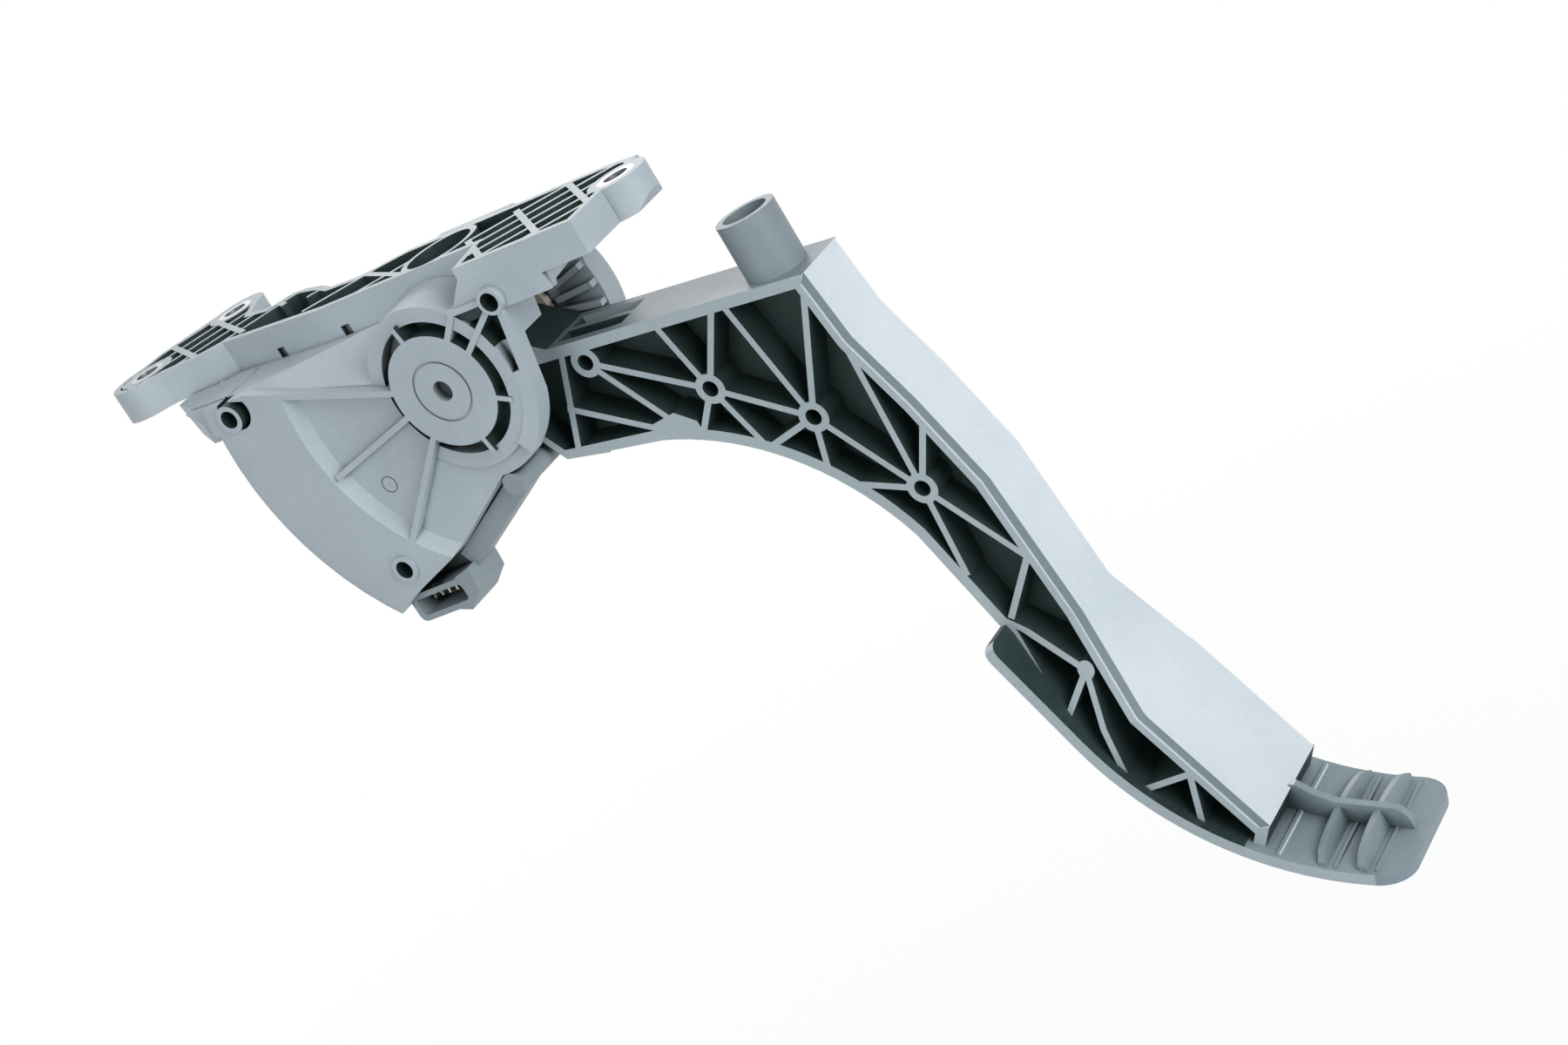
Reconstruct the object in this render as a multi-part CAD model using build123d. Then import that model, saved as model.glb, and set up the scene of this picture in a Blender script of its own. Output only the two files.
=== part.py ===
from build123d import *
import os
from math import atan2, cos, degrees, hypot, radians, sin

# Accelerator pedal module, in millimetres.
# X runs along the mounting flange towards the foot pad, Y along the pivot to the far side,
# Z out of the mounting face. The origin is midway between the two main mounting holes.
# Side-view points marked "from the pivot" are (x, z) pairs measured from the pivot axis.

# Mounting flange
HOLE_SPACING = 171.0
FLANGE_DEPTH = 9.0
FLANGE_FLOOR = 2.4
FLANGE_RIB = 1.8
FLANGE_RIM = 2.2
RIGHT_EAR_RADIUS = 11.5
LEFT_EAR_RADIUS = 10.5
REAR_EAR_RADIUS = 9.0
REAR_HOLE_X = -73.0
REAR_HOLE_Y = 28.0
BUSH_OUTER_DIAMETER = 10.4
BUSH_BORE = 6.6
BUSH_FIT = 0.05
EAR_SEAT_WALL = 2.6
PORT_RADIUS = 11.0
PORT_X = 25.0
PORT_Y = 1.0
LUG_LEFT_X = 43.0
LUG_RIGHT_X = 86.0
LUG_NEAR_Y = -24.0
LUG_SKIRT_DEPTH = 13.5
FLANGE_NEAR_Y = -9.0
FLANGE_FAR_Y = 13.0

# Pivot
PIVOT_X = 24.5
PIVOT_Z = -27.0
AXLE_DIAMETER = 8.0
AXLE_FIT = 0.04
AXLE_VIEW_HOLE = 5.6
FULL_TRAVEL = 12.0

# Housing
NEAR_FACE = -25.0
PANEL_SINK = 3.0
WALL = 2.6
SPLIT_Y = 13.0
CASE_RADIUS = 76.0
CASE_START_ANGLE = 173.0
CASE_END_ANGLE = 229.0
NECK_RADIUS = 29.0
DISC_RADIUS = 15.0
SLOT_WIDTH = 3.2
SLOT_DEPTH = 4.0
SLOT_RIB = 1.4
DISC_GROOVE_RADIUS = 7.8
DISC_GROOVE_WIDTH = 0.7
DISC_GROOVE_DEPTH = 0.4
FACE_RIB = 1.6
BAND_WIDTH = 28.0
CASE_EDGE_ROUND = 3.0
SHOULDER_DROP = 8.0
COLLAR_WIDTH = 4.3
FAIRING_GROWTH = 6.0
FAIRING_DEPTH = 12.0
MOUTH_CLEARANCE = 1.5

# Screws that hold the rear cover
SCREW_TUBE_DIAMETER = 6.8
SCREW_CORE_DIAMETER = 5.0
SCREW_SHANK_DIAMETER = 4.9
SCREW_HEAD_DIAMETER = 8.6
SCREW_HEAD_HEIGHT = 3.0
SCREW_LENGTH = 22.0
SCREW_SOCKET = 3.6
SCREW_SOCKET_DEPTH = 1.8
SCREW_TUBE_PROUD = 1.0
SCREW_PLACES = [(28.9, 16.6), (-66.8, 13.6), (-43.4, -40.2)]

# Pedal arm
ARM_HALF_WIDTH = 9.5
FLARE_HALF_WIDTH = 17.5
FLARE_START_Z = -112.0
FLARE_END_Z = -139.0
RAIL = 3.0
RIB = 1.9
WEB = 2.0
NODE_DIAMETER = 8.2
NODE_HOLE = 4.3
HUB_DIAMETER = 20.0
HUB_GAP = 0.5

# Stop post on the arm
POST_X = 88.3
POST_TOP_Z = 7.0
POST_DIAMETER = 15.6
POST_WALL = 2.0
POST_BORE_DEPTH = 13.0

# Foot pad
PAD_WIDTH = 40.0
PAD_THICKNESS = 3.0
PAD_TOP_X = 98.0
PAD_TOP_Z = -110.0
PAD_SLOPE = -69.3
PAD_STRAIGHT = 39.6
PAD_BEND_RADIUS = 80.0
PAD_BEND_ANGLE = 51.0
PAD_TOE_LENGTH = 9.0
PAD_TOE_CORNER = 8.0
PAD_HEEL_CORNER = 3.0
SPINE_THICKNESS = 2.2
SPINE_TOE_RADIUS = 5.0
CROSS_RIB_X = (151.0, 160.0)
CROSS_RIB_THICKNESS = 1.8

# Lever, springs and friction shoe inside the case
LEVER_WIDTH = 16.0
LEVER_ANGLE = 184.0
LEVER_RADIUS = 69.0
LEVER_ROOT_HEIGHT = 14.0
LEVER_TIP_HEIGHT = 9.0
SPRING_TOP = (-36.0, -13.0)
SPRING_BOTTOM = (-27.0, -35.5)
OUTER_SPRING_DIAMETER = 13.6
OUTER_SPRING_WIRE = 1.8
OUTER_SPRING_COILS = 6
INNER_SPRING_DIAMETER = 8.4
INNER_SPRING_WIRE = 1.3
INNER_SPRING_COILS = 7
CUP_THICKNESS = 1.6
CUP_LIP = 2.0
SHOE_HEIGHT = 11.0
SHOE_CLEARANCE = 0.35
SHOE_TONGUE = 3.0
IDLE_BUFFER_DIAMETER = 9.0
IDLE_BUFFER_HEIGHT = 4.0

# Pivot bushes
PIVOT_BUSH_WALL = 1.5
PIVOT_BUSH_LENGTH = 9.0
PIVOT_BUSH_FLANGE = 1.2
PIVOT_BUSH_FLANGE_DIAMETER = 15.0

# Rear cover and sensor
COVER_THICKNESS = 3.0
DRUM_RADIUS = 28.9
DRUM_DEPTH = 7.0
DRUM_WALL = 2.4
DRUM_TOP_GAP = 1.0
DRUM_FLOOR = 1.6
STRUT_ANGLES = (-8, 3, 14, 25)
STRUT_THICKNESS = 1.6
STRUT_DEPTH = 2.5
LID_THICKNESS = 2.0
BOARD_THICKNESS = 1.6
BOARD_RADIUS = 21.0
CHIP_SIZE = 5.0
CHIP_HEIGHT = 1.2
ROTOR_THICKNESS = 2.2
ROTOR_RADIUS = 13.0
MAGNET_SIZE = 4.0
MAGNET_DEPTH = 1.2
SEAL_WIDTH = 1.2
SEAL_HEIGHT = 0.8
COVER_BEARING_DIAMETER = 15.0
AXLE_END_WALL = 1.0
PEG_DIAMETER = 2.2
PEG_LENGTH = 2.5

# Connector under the case
CONNECTOR_TILT = 26.0
CONNECTOR_CENTRE = (-38.5, -58.0)
CONNECTOR_LENGTH = 22.0
CONNECTOR_HEIGHT = 11.0
CONNECTOR_WALL = 1.6
CONNECTOR_MOUTH_Y = -15.0
CONNECTOR_FLOOR_Y = 4.0
TERMINAL_COUNT = 6
TERMINAL_THICKNESS = 0.8
TERMINAL_LENGTH = 13.0
TERMINAL_ROOT = 3.0
LATCH_LENGTH = 8.0
LATCH_HEIGHT = 6.0
DUCT_DIAMETER = 6.0
STUB_DIAMETER = 6.4
STUB_PLACE = (1.5, -33.5)

near_panel = NEAR_FACE + PANEL_SINK
near_inside = near_panel + WALL
cover_outside = SPLIT_Y + COVER_THICKNESS
drum_end = SPLIT_Y + DRUM_DEPTH
lid_inside = drum_end - LID_THICKNESS
hub_near = near_inside + PIVOT_BUSH_FLANGE + HUB_GAP
hub_far = SPLIT_Y - HUB_GAP - ROTOR_THICKNESS
axle_near = near_panel - 0.5
axle_far = lid_inside - HUB_GAP - AXLE_END_WALL


def slab(face, near, far):
    """Extrude a side-view face from y = near to y = far."""
    return extrude(Plane.XZ.offset(-far) * face, amount=far - near, dir=(0, -1, 0))


def at_pivot(shape):
    """Move a shape drawn about the pivot to its place."""
    return Pos(PIVOT_X, 0, PIVOT_Z) * shape


def outline(*edges):
    """A face whose boundary is the given curves, drawn in order."""
    return make_face(Wire([edge for curve in edges for edge in curve.edges()]))


def polar(radius, angle):
    """The side-view point at a radius and angle from the pivot."""
    return (radius * cos(radians(angle)), radius * sin(radians(angle)))


def bar(start, end, thickness):
    """A straight side-view strip between two points."""
    length = hypot(end[0] - start[0], end[1] - start[1])
    angle = degrees(atan2(end[1] - start[1], end[0] - start[0]))
    middle = ((start[0] + end[0]) / 2, (start[1] + end[1]) / 2)
    return Pos(*middle) * Rot(0, 0, angle) * Rectangle(length, thickness)


def tube(outer, inner, near, far):
    """A round tube along Y about the pivot."""
    return slab(Circle(outer) - Circle(inner), near, far)


def solid_of(shape):
    """The single solid that a build step leaves."""
    solids = shape.solids()
    return solids[0] if len(solids) == 1 else Compound(children=list(solids))


# Housing: the case

def case_outline(inset=0.0):
    """Side view of the case from the pivot: spring sector, neck round the pivot, flat top."""
    radius = CASE_RADIUS - inset
    top = -PIVOT_Z - FLANGE_DEPTH - inset
    start = polar(radius, CASE_START_ANGLE + inset / 2)
    middle = polar(radius, (CASE_START_ANGLE + CASE_END_ANGLE) / 2)
    end = polar(radius, CASE_END_ANGLE - inset)
    neck_start = polar(NECK_RADIUS - inset, -97)
    neck_middle = polar(NECK_RADIUS - inset, -50)
    neck_end = polar(NECK_RADIUS - inset, -8)
    corner = (NECK_RADIUS + 2.0 - inset, top)
    shoulder = (start[0] - 5.0 + inset, top)
    return outline(
        ThreePointArc(start, middle, end),
        Line(end, neck_start),
        ThreePointArc(neck_start, neck_middle, neck_end),
        Line(neck_end, corner),
        Line(corner, shoulder),
        Line(shoulder, start),
    )


def face_ribs():
    """Thin ribs that run over the sunk panels of the near face."""
    boss_top, boss_left, boss_low = SCREW_PLACES
    ribs = Sketch()
    for start, end in (
        (polar(DISC_RADIUS - 1, 166), (-74.0, 21.5)),
        (polar(DISC_RADIUS - 1, 194), (-47.0, -11.5)),
        (polar(DISC_RADIUS - 1, 224), boss_low),
        (polar(DISC_RADIUS - 1, 48), (18.5, 18.0)),
        (polar(DISC_RADIUS - 1, 30), boss_top),
    ):
        ribs += bar(start, end, FACE_RIB)
    return ribs


def slot_ribs():
    """Short ribs that tie the bearing disc to the case across the round slot."""
    ribs = Sketch()
    for angle in (135, 0, -42, -75):
        ribs += bar(polar(DISC_RADIUS - 1, angle), polar(DISC_RADIUS + SLOT_WIDTH + 1, angle), SLOT_RIB)
    return ribs


def collar_faces(outer):
    """Raised parts of the near face: the outer band, and the collar round the bearing disc."""
    band = outer & (Circle(CASE_RADIUS) - Circle(CASE_RADIUS - BAND_WIDTH))
    band -= Pos(0, 32) * Rectangle(4 * CASE_RADIUS, 44)
    slot_outer = DISC_RADIUS + SLOT_WIDTH
    side = outer & Pos(NECK_RADIUS / 2 + 4, 0) * Rectangle(NECK_RADIUS + 8, 80)
    side &= Circle(NECK_RADIUS + 6)
    inside_wall = offset(outer, amount=-FACE_RIB, kind=Kind.INTERSECTION)
    pocket = inside_wall & (Pos(30, 14) * Rectangle(60, 26))
    pocket -= Circle(slot_outer + COLLAR_WIDTH)
    return [band, side - pocket, Circle(slot_outer + COLLAR_WIDTH) & outer]


def near_wall():
    """The near side of the case, with its raised band, collar, bearing disc and ribs."""
    outer = case_outline()
    slot_outer = DISC_RADIUS + SLOT_WIDTH
    wall = slab(outer, near_panel, near_inside)
    wall += [slab(face, NEAR_FACE, near_panel + 0.5) for face in collar_faces(outer)]
    wall -= tube(slot_outer, DISC_RADIUS, NEAR_FACE - 1, NEAR_FACE + SLOT_DEPTH)
    wall += slab(Circle(slot_outer), NEAR_FACE + SLOT_DEPTH, near_inside)
    wall += slab(slot_ribs(), NEAR_FACE, NEAR_FACE + SLOT_DEPTH + 0.5)
    wall += slab(face_ribs() & outer, NEAR_FACE, near_panel + 0.5)
    groove_outer = DISC_GROOVE_RADIUS + DISC_GROOVE_WIDTH
    wall -= tube(groove_outer, DISC_GROOVE_RADIUS, NEAR_FACE - 1, NEAR_FACE + DISC_GROOVE_DEPTH)
    return wall


def screw_tubes():
    """Tubes that take the cover screws, open at the near face."""
    tubes = Sketch()
    for place in SCREW_PLACES:
        tubes += Pos(*place) * Circle(SCREW_TUBE_DIAMETER / 2)
    return slab(tubes, NEAR_FACE - SCREW_TUBE_PROUD, SPLIT_Y)


def screw_holes(diameter, near, far):
    """Round holes along Y at the three screws."""
    holes = Sketch()
    for place in SCREW_PLACES:
        holes += Pos(*place) * Circle(diameter / 2)
    return slab(holes, near, far)


def spring_seat():
    """Block in the case that the fixed ends of the springs stand on."""
    direction = spring_direction()
    angle = degrees(atan2(direction.Y, direction.X))
    depth = 16.0
    middle = (SPRING_BOTTOM[0] + direction.X * depth / 2, SPRING_BOTTOM[1] + direction.Y * depth / 2)
    block = Pos(*middle) * Rot(0, 0, angle) * Rectangle(depth, OUTER_SPRING_DIAMETER + 2.0)
    return slab(block & case_outline(WALL / 2), near_inside - 0.5, SPLIT_Y)


def idle_buffer_place():
    """Foot of the idle boss, where the buffer hangs over the lever's back."""
    x = -40.0
    reach = IDLE_BUFFER_DIAMETER / 2
    return (x, max(lever_back(x - reach), lever_back(x + reach)) + IDLE_BUFFER_HEIGHT)


def idle_stop():
    """Boss under the flange that holds the idle buffer above the lever."""
    place = idle_buffer_place()
    radius = IDLE_BUFFER_DIAMETER / 2 + 1.5
    top = -PIVOT_Z - FLANGE_DEPTH + 0.5
    return Pos(place[0], 0, place[1]) * extrude(Circle(radius), amount=top - place[1])


def shoulder(inset):
    """Everything in front of the slope from the near face up to the edge of the flange."""
    top = -PIVOT_Z - FLANGE_DEPTH
    slope = SHOULDER_DROP / (FLANGE_NEAR_Y - near_panel)
    foot = NEAR_FACE - 20
    foot_z = top - SHOULDER_DROP - slope * (near_panel - foot)
    wedge = Polygon(
        (foot, foot_z - inset),
        (FLANGE_NEAR_Y, top - inset),
        (FLANGE_NEAR_Y, top + 20),
        (foot, top + 20),
        align=None,
    )
    return Pos(-150, 0, 0) * extrude(Plane.YZ * wedge, amount=300, dir=(1, 0, 0))


def fairing():
    """Cone that carries the collar back into the slope above the bearing disc."""
    radius = DISC_RADIUS + SLOT_WIDTH + COLLAR_WIDTH
    cone = Cone(radius, radius + FAIRING_GROWTH, FAIRING_DEPTH)
    cone = Pos(0, NEAR_FACE + FAIRING_DEPTH / 2, 0) * Rot(-90, 0, 0) * cone
    top = -PIVOT_Z - FLANGE_DEPTH / 2
    limit = Pos(0, 0, top / 2) * Box(200, 80, top)
    slot = slab(Circle(DISC_RADIUS + SLOT_WIDTH), NEAR_FACE - 1, near_panel)
    return (cone & limit) - slot


def arm_mouth():
    """Opening in the neck that the arm comes out of and swings in."""
    half = ARM_HALF_WIDTH + MOUTH_CLEARANCE
    opening = Polygon((8, 14), (60, 14), (60, -60), (-4, -60), (-4, -24), align=None)
    return slab(opening, -half, SPLIT_Y + 1)


def case():
    """The case as an open shell towards the far side."""
    outer = slab(case_outline(), near_panel, SPLIT_Y)
    edge = outer.edges().filter_by(GeomType.CIRCLE).sort_by(Axis.Y)[:2].sort_by(SortBy.RADIUS)[-1]
    outer = fillet(edge, CASE_EDGE_ROUND - 0.5) + near_wall()
    outer = outer - shoulder(0) + fairing()
    inner = slab(case_outline(WALL), near_inside, SPLIT_Y + 1) - shoulder(WALL)
    shell = outer - inner
    tubes = screw_tubes()
    return shell + tubes + spring_seat() + idle_stop() - arm_mouth()


# Housing: the flange

def hole_places():
    """Main holes on the X axis, and the third hole behind the left one."""
    half = HOLE_SPACING / 2
    return [(half, 0, RIGHT_EAR_RADIUS), (-half, 0, LEFT_EAR_RADIUS), (REAR_HOLE_X, REAR_HOLE_Y, REAR_EAR_RADIUS)]


def flange_plan():
    """Plan of the flange: near lug, set-back middle, left arm and three round ears."""
    half = HOLE_SPACING / 2
    points = [
        (LUG_LEFT_X, LUG_NEAR_Y),
        (LUG_RIGHT_X, LUG_NEAR_Y),
        (LUG_RIGHT_X, FLANGE_FAR_Y - 2),
        (LUG_RIGHT_X - 12, FLANGE_FAR_Y),
        (-22, FLANGE_FAR_Y),
        (REAR_HOLE_X + 16, REAR_HOLE_Y - 5),
        (REAR_HOLE_X, REAR_HOLE_Y),
        (-half - 4, REAR_HOLE_Y - 8),
        (-half, 0),
        (-half + 2, -LEFT_EAR_RADIUS + 0.5),
        (-half + 18, -LEFT_EAR_RADIUS),
        (-52, 5),
        (-44, 7),
        (-28, -2),
        (-12, FLANGE_NEAR_Y),
        (LUG_LEFT_X - 3, FLANGE_NEAR_Y),
    ]
    plan = Polygon(*points, align=None)
    for x, y, radius in hole_places():
        plan += Pos(x, y) * Circle(radius)
    return plan


def grid(centre, angle, pitch, count, length):
    """Parallel ribs at an angle, spread evenly about a centre."""
    ribs = []
    for i in range(count):
        shift = Rot(0, 0, angle) * Pos(0, (i - (count - 1) / 2) * pitch)
        ribs.append(Pos(*centre) * shift * Rectangle(length, FLANGE_RIB))
    return ribs


def flange_ribs():
    """Three fields of ribs: on the right lug, across the middle and out to the left ears."""
    right, middle, left = (68, -5), (2, 2), (-70, 10)
    ribs = grid(right, 30, 8.0, 5, 50) + grid(right, 132, 14.0, 4, 44)
    ribs += grid(middle, 32, 15.0, 4, 46) + grid(middle, 148, 30.0, 3, 34)
    ribs += grid(left, 50, 9.0, 5, 54) + grid(left, 142, 13.0, 4, 46)
    return ribs


def flange():
    """Tray-shaped flange, open towards the bulkhead, with ribs, ear seats and the round port."""
    plan = flange_plan()
    inner = offset(plan, amount=-FLANGE_RIM, kind=Kind.INTERSECTION)
    seat = BUSH_OUTER_DIAMETER / 2 + EAR_SEAT_WALL
    seats = [Pos(x, y) * Circle(seat) for x, y, radius in hole_places()]
    port = Pos(PORT_X, PORT_Y) * Circle(PORT_RADIUS)
    pockets = inner - (flange_ribs() + seats + [port])
    pockets += Pos(PORT_X, PORT_Y) * Circle(PORT_RADIUS - FLANGE_RIB)
    bores = [Pos(x, y) * Circle(BUSH_OUTER_DIAMETER / 2 + BUSH_FIT) for x, y, radius in hole_places()]
    body = Pos(0, 0, -FLANGE_DEPTH) * extrude(plan, amount=FLANGE_DEPTH)
    body -= Pos(0, 0, FLANGE_FLOOR - FLANGE_DEPTH) * extrude(pockets, amount=FLANGE_DEPTH)
    return body - [Pos(0, 0, -FLANGE_DEPTH - 1) * extrude(bore, amount=FLANGE_DEPTH + 2) for bore in bores]


def lug_skirt():
    """Deep near wall under the right end of the flange, with its slanted lower edge."""
    face = Polygon(
        (LUG_LEFT_X, -1.0),
        (LUG_RIGHT_X, -1.0),
        (LUG_RIGHT_X, -6.0),
        (PIVOT_X + 47.4, -LUG_SKIRT_DEPTH + 1.5),
        (PIVOT_X + 46.5, -LUG_SKIRT_DEPTH),
        (LUG_LEFT_X, -LUG_SKIRT_DEPTH),
        align=None,
    )
    skirt = slab(face, LUG_NEAR_Y, LUG_NEAR_Y + FLANGE_RIM)
    return skirt


def make_housing():
    """Case, flange and lug skirt as the one moulding that they are."""
    body = at_pivot(case()) + flange() + lug_skirt()
    body -= at_pivot(screw_holes(SCREW_CORE_DIAMETER, NEAR_FACE - 2, SPLIT_Y + 1))
    body -= at_pivot(slab(Circle(AXLE_DIAMETER / 2), axle_near, near_inside + 1))
    return body - at_pivot(slab(Circle(AXLE_VIEW_HOLE / 2), NEAR_FACE - 1, near_inside))


# Lever geometry, shared by the arm, the spring cup, the shoe and the idle stop

def lever_back(x):
    """Height of the lever's back above the pivot at x, on its straight taper."""
    reach = abs(x)
    share = reach / LEVER_RADIUS
    half = (LEVER_ROOT_HEIGHT * (1 - share) + LEVER_TIP_HEIGHT * share) / 2
    return x * sin(radians(LEVER_ANGLE)) / cos(radians(LEVER_ANGLE)) + half / abs(cos(radians(LEVER_ANGLE)))


def lever():
    """Lever that reaches from the hub into the spring case."""
    near, far = LEVER_ROOT_HEIGHT / 2, LEVER_TIP_HEIGHT / 2
    face = Polygon((0, near), (0, -near), (LEVER_RADIUS, -far), (LEVER_RADIUS, far), align=None)
    face = Rot(0, 0, LEVER_ANGLE) * (face - shoe_tongue())
    return slab(face, -LEVER_WIDTH / 2, LEVER_WIDTH / 2) + spring_pad()


def shoe_tongue():
    """Tongue of the friction shoe, along the lever from its tip."""
    return Pos(LEVER_RADIUS - SHOE_TONGUE / 2, 0) * Rectangle(SHOE_TONGUE, SHOE_TONGUE)


def spring_direction():
    """Unit vector along the springs, from the lever to the seat."""
    return Vector(SPRING_BOTTOM[0] - SPRING_TOP[0], SPRING_BOTTOM[1] - SPRING_TOP[1]).normalized()


def spring_pad():
    """Pad on the lever, square to the springs, that carries the spring cup."""
    direction = spring_direction()
    angle = degrees(atan2(direction.Y, direction.X))
    depth = 12.0
    end = (SPRING_TOP[0] - direction.X * CUP_THICKNESS, SPRING_TOP[1] - direction.Y * CUP_THICKNESS)
    middle = (end[0] - direction.X * depth / 2, end[1] - direction.Y * depth / 2)
    pad = Pos(*middle) * Rot(0, 0, angle) * Rectangle(depth, OUTER_SPRING_DIAMETER)
    under_back = Rot(0, 0, LEVER_ANGLE) * Pos(LEVER_RADIUS / 2, LEVER_ROOT_HEIGHT) * Rectangle(
        LEVER_RADIUS, 2 * LEVER_ROOT_HEIGHT
    )
    return slab(pad & under_back, -LEVER_WIDTH / 2, LEVER_WIDTH / 2)


# Pedal arm

def arm_outline():
    """Side view of the arm from the pivot, between its hub and its meeting with the pad."""
    top_root = (14.0, -3.6)
    top_end = (100.6, -9.4)
    face_1 = (102.6, -30.0)
    face_2 = (116.8, -72.0)
    crease = (120.7, -112.0)
    face_end = (141.8, -175.0)
    pad_end = (136.0, -183.5)
    pad_low = (111.5, -150.0)
    pad_top = (99.0, -110.0)
    under_3 = (91.0, -79.5)
    under_2 = (69.0, -48.5)
    under_1 = (38.5, -36.2)
    under_root = (9.0, -32.5)
    return outline(
        Line(top_root, top_end),
        Line(top_end, face_1),
        Line(face_1, face_2),
        Line(face_2, crease),
        Line(crease, face_end),
        Line(face_end, pad_end),
        Line(pad_end, pad_low),
        Line(pad_low, pad_top),
        Line(pad_top, under_3),
        ThreePointArc(under_3, under_2, under_1),
        Line(under_1, under_root),
        Line(under_root, top_root),
    )


def truss_nodes():
    """Round nodes of the lattice, from the hub to the pad."""
    return {"a": (30.6, -10.8), "b": (59.7, -28.0), "c": (82.1, -43.4), "d": (99.0, -69.2), "e": (113.1, -126.6)}


def truss_ribs():
    """Lattice ribs as pairs of ends, which the arm's outline then trims."""
    node = truss_nodes()
    return [
        ((26.5, -4.0), (13.0, -33.0)),
        ((17.8, -20.2), (43.5, -35.5)),
        (node["a"], node["b"]),
        (node["a"], (48.5, -38.5)),
        ((54.5, -6.0), node["b"]),
        (node["b"], (74.0, -7.0)),
        (node["b"], (49.8, -39.0)),
        (node["b"], (66.0, -48.0)),
        (node["b"], node["c"]),
        ((75.5, -8.0), node["c"]),
        (node["c"], (98.6, -13.0)),
        (node["c"], (64.0, -47.5)),
        (node["c"], (77.0, -60.0)),
        (node["c"], node["d"]),
        ((101.0, -24.0), node["d"]),
        (node["d"], (111.0, -50.0)),
        (node["d"], (79.0, -61.5)),
        (node["d"], (97.4, -94.0)),
        (node["d"], (116.0, -95.0)),
        ((116.0, -93.0), (102.0, -108.0)),
        ((100.0, -108.0), node["e"]),
        (node["e"], (103.5, -134.0)),
        (node["e"], (113.0, -158.0)),
        ((112.0, -157.5), (131.0, -156.0)),
        ((129.5, -157.0), (124.0, -176.0)),
    ]


def arm_truss():
    """Rails, lattice ribs, node rings and the middle web, before the flare is trimmed."""
    face = arm_outline()
    inner = offset(face, amount=-RAIL, kind=Kind.INTERSECTION)
    lattice = [bar(start, end, RIB) for start, end in truss_ribs()]
    lattice += [Pos(*place) * Circle(NODE_DIAMETER / 2) for place in truss_nodes().values()]
    lattice.append(Polygon((38.5, -31.5), (46.0, -30.5), (51.0, -34.5), (51.0, -40.0), (38.5, -40.0), align=None))
    pockets = inner - lattice
    for place in truss_nodes().values():
        pockets += Pos(*place) * Circle(NODE_HOLE / 2)
    half = FLARE_HALF_WIDTH
    return slab(face, -half, half) - slab(pockets, -half - 1, -WEB / 2) - slab(pockets, WEB / 2, half + 1)


def top_recess():
    """Opening in the top rail next to the hub, with the middle web left standing."""
    length, width = 20.0, ARM_HALF_WIDTH - RAIL - WEB / 2
    cut = Part()
    for sign in (-1, 1):
        middle = sign * (WEB / 2 + width / 2)
        cut += Pos(34.0, middle, -4.0) * Box(length, width, 2 * RAIL)
    return cut


def arm_width():
    """Block that narrows the arm above the crease and flares it towards the pad."""
    narrow, wide = ARM_HALF_WIDTH, FLARE_HALF_WIDTH
    points = [(-narrow, 30), (narrow, 30), (narrow, FLARE_START_Z), (wide, FLARE_END_Z), (wide, -230)]
    points += [(-wide, -230), (-wide, FLARE_END_Z), (-narrow, FLARE_START_Z)]
    return extrude(Plane.YZ * Polygon(*points, align=None), amount=220, dir=(1, 0, 0))


def pad_curve(lift):
    """Line, bend and toe of the pad, raised by lift from its foot side."""
    slope = radians(PAD_SLOPE)
    normal = (-sin(slope), cos(slope))
    start = (PAD_TOP_X + lift * normal[0], PAD_TOP_Z + lift * normal[1])
    straight = PolarLine(start, PAD_STRAIGHT, PAD_SLOPE)
    bend = JernArc(straight @ 1, straight % 1, PAD_BEND_RADIUS - lift, PAD_BEND_ANGLE)
    toe = PolarLine(bend @ 1, PAD_TOE_LENGTH, PAD_SLOPE + PAD_BEND_ANGLE)
    return straight, bend, toe


def pad_face(low, high):
    """Side view of the pad's plate between two heights over its foot side."""
    under = pad_curve(low)
    back = pad_curve(high)
    return outline(
        *under,
        Line(under[-1] @ 1, back[-1] @ 1),
        *back,
        Line(back[0] @ 0, under[0] @ 0),
    )


def foot_pad():
    """Curved pad plate with rounded corners."""
    plate = slab(pad_face(0, PAD_THICKNESS), -PAD_WIDTH / 2, PAD_WIDTH / 2)
    across = plate.edges().filter_by(lambda e: abs(e.length - PAD_THICKNESS) < 0.01)
    corners = across.sort_by(Axis.X)
    plate = fillet(corners[-2:], PAD_TOE_CORNER)
    across = plate.edges().filter_by(lambda e: abs(e.length - PAD_THICKNESS) < 0.01)
    return fillet(across.sort_by(Axis.X)[:2], PAD_HEEL_CORNER)


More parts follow.
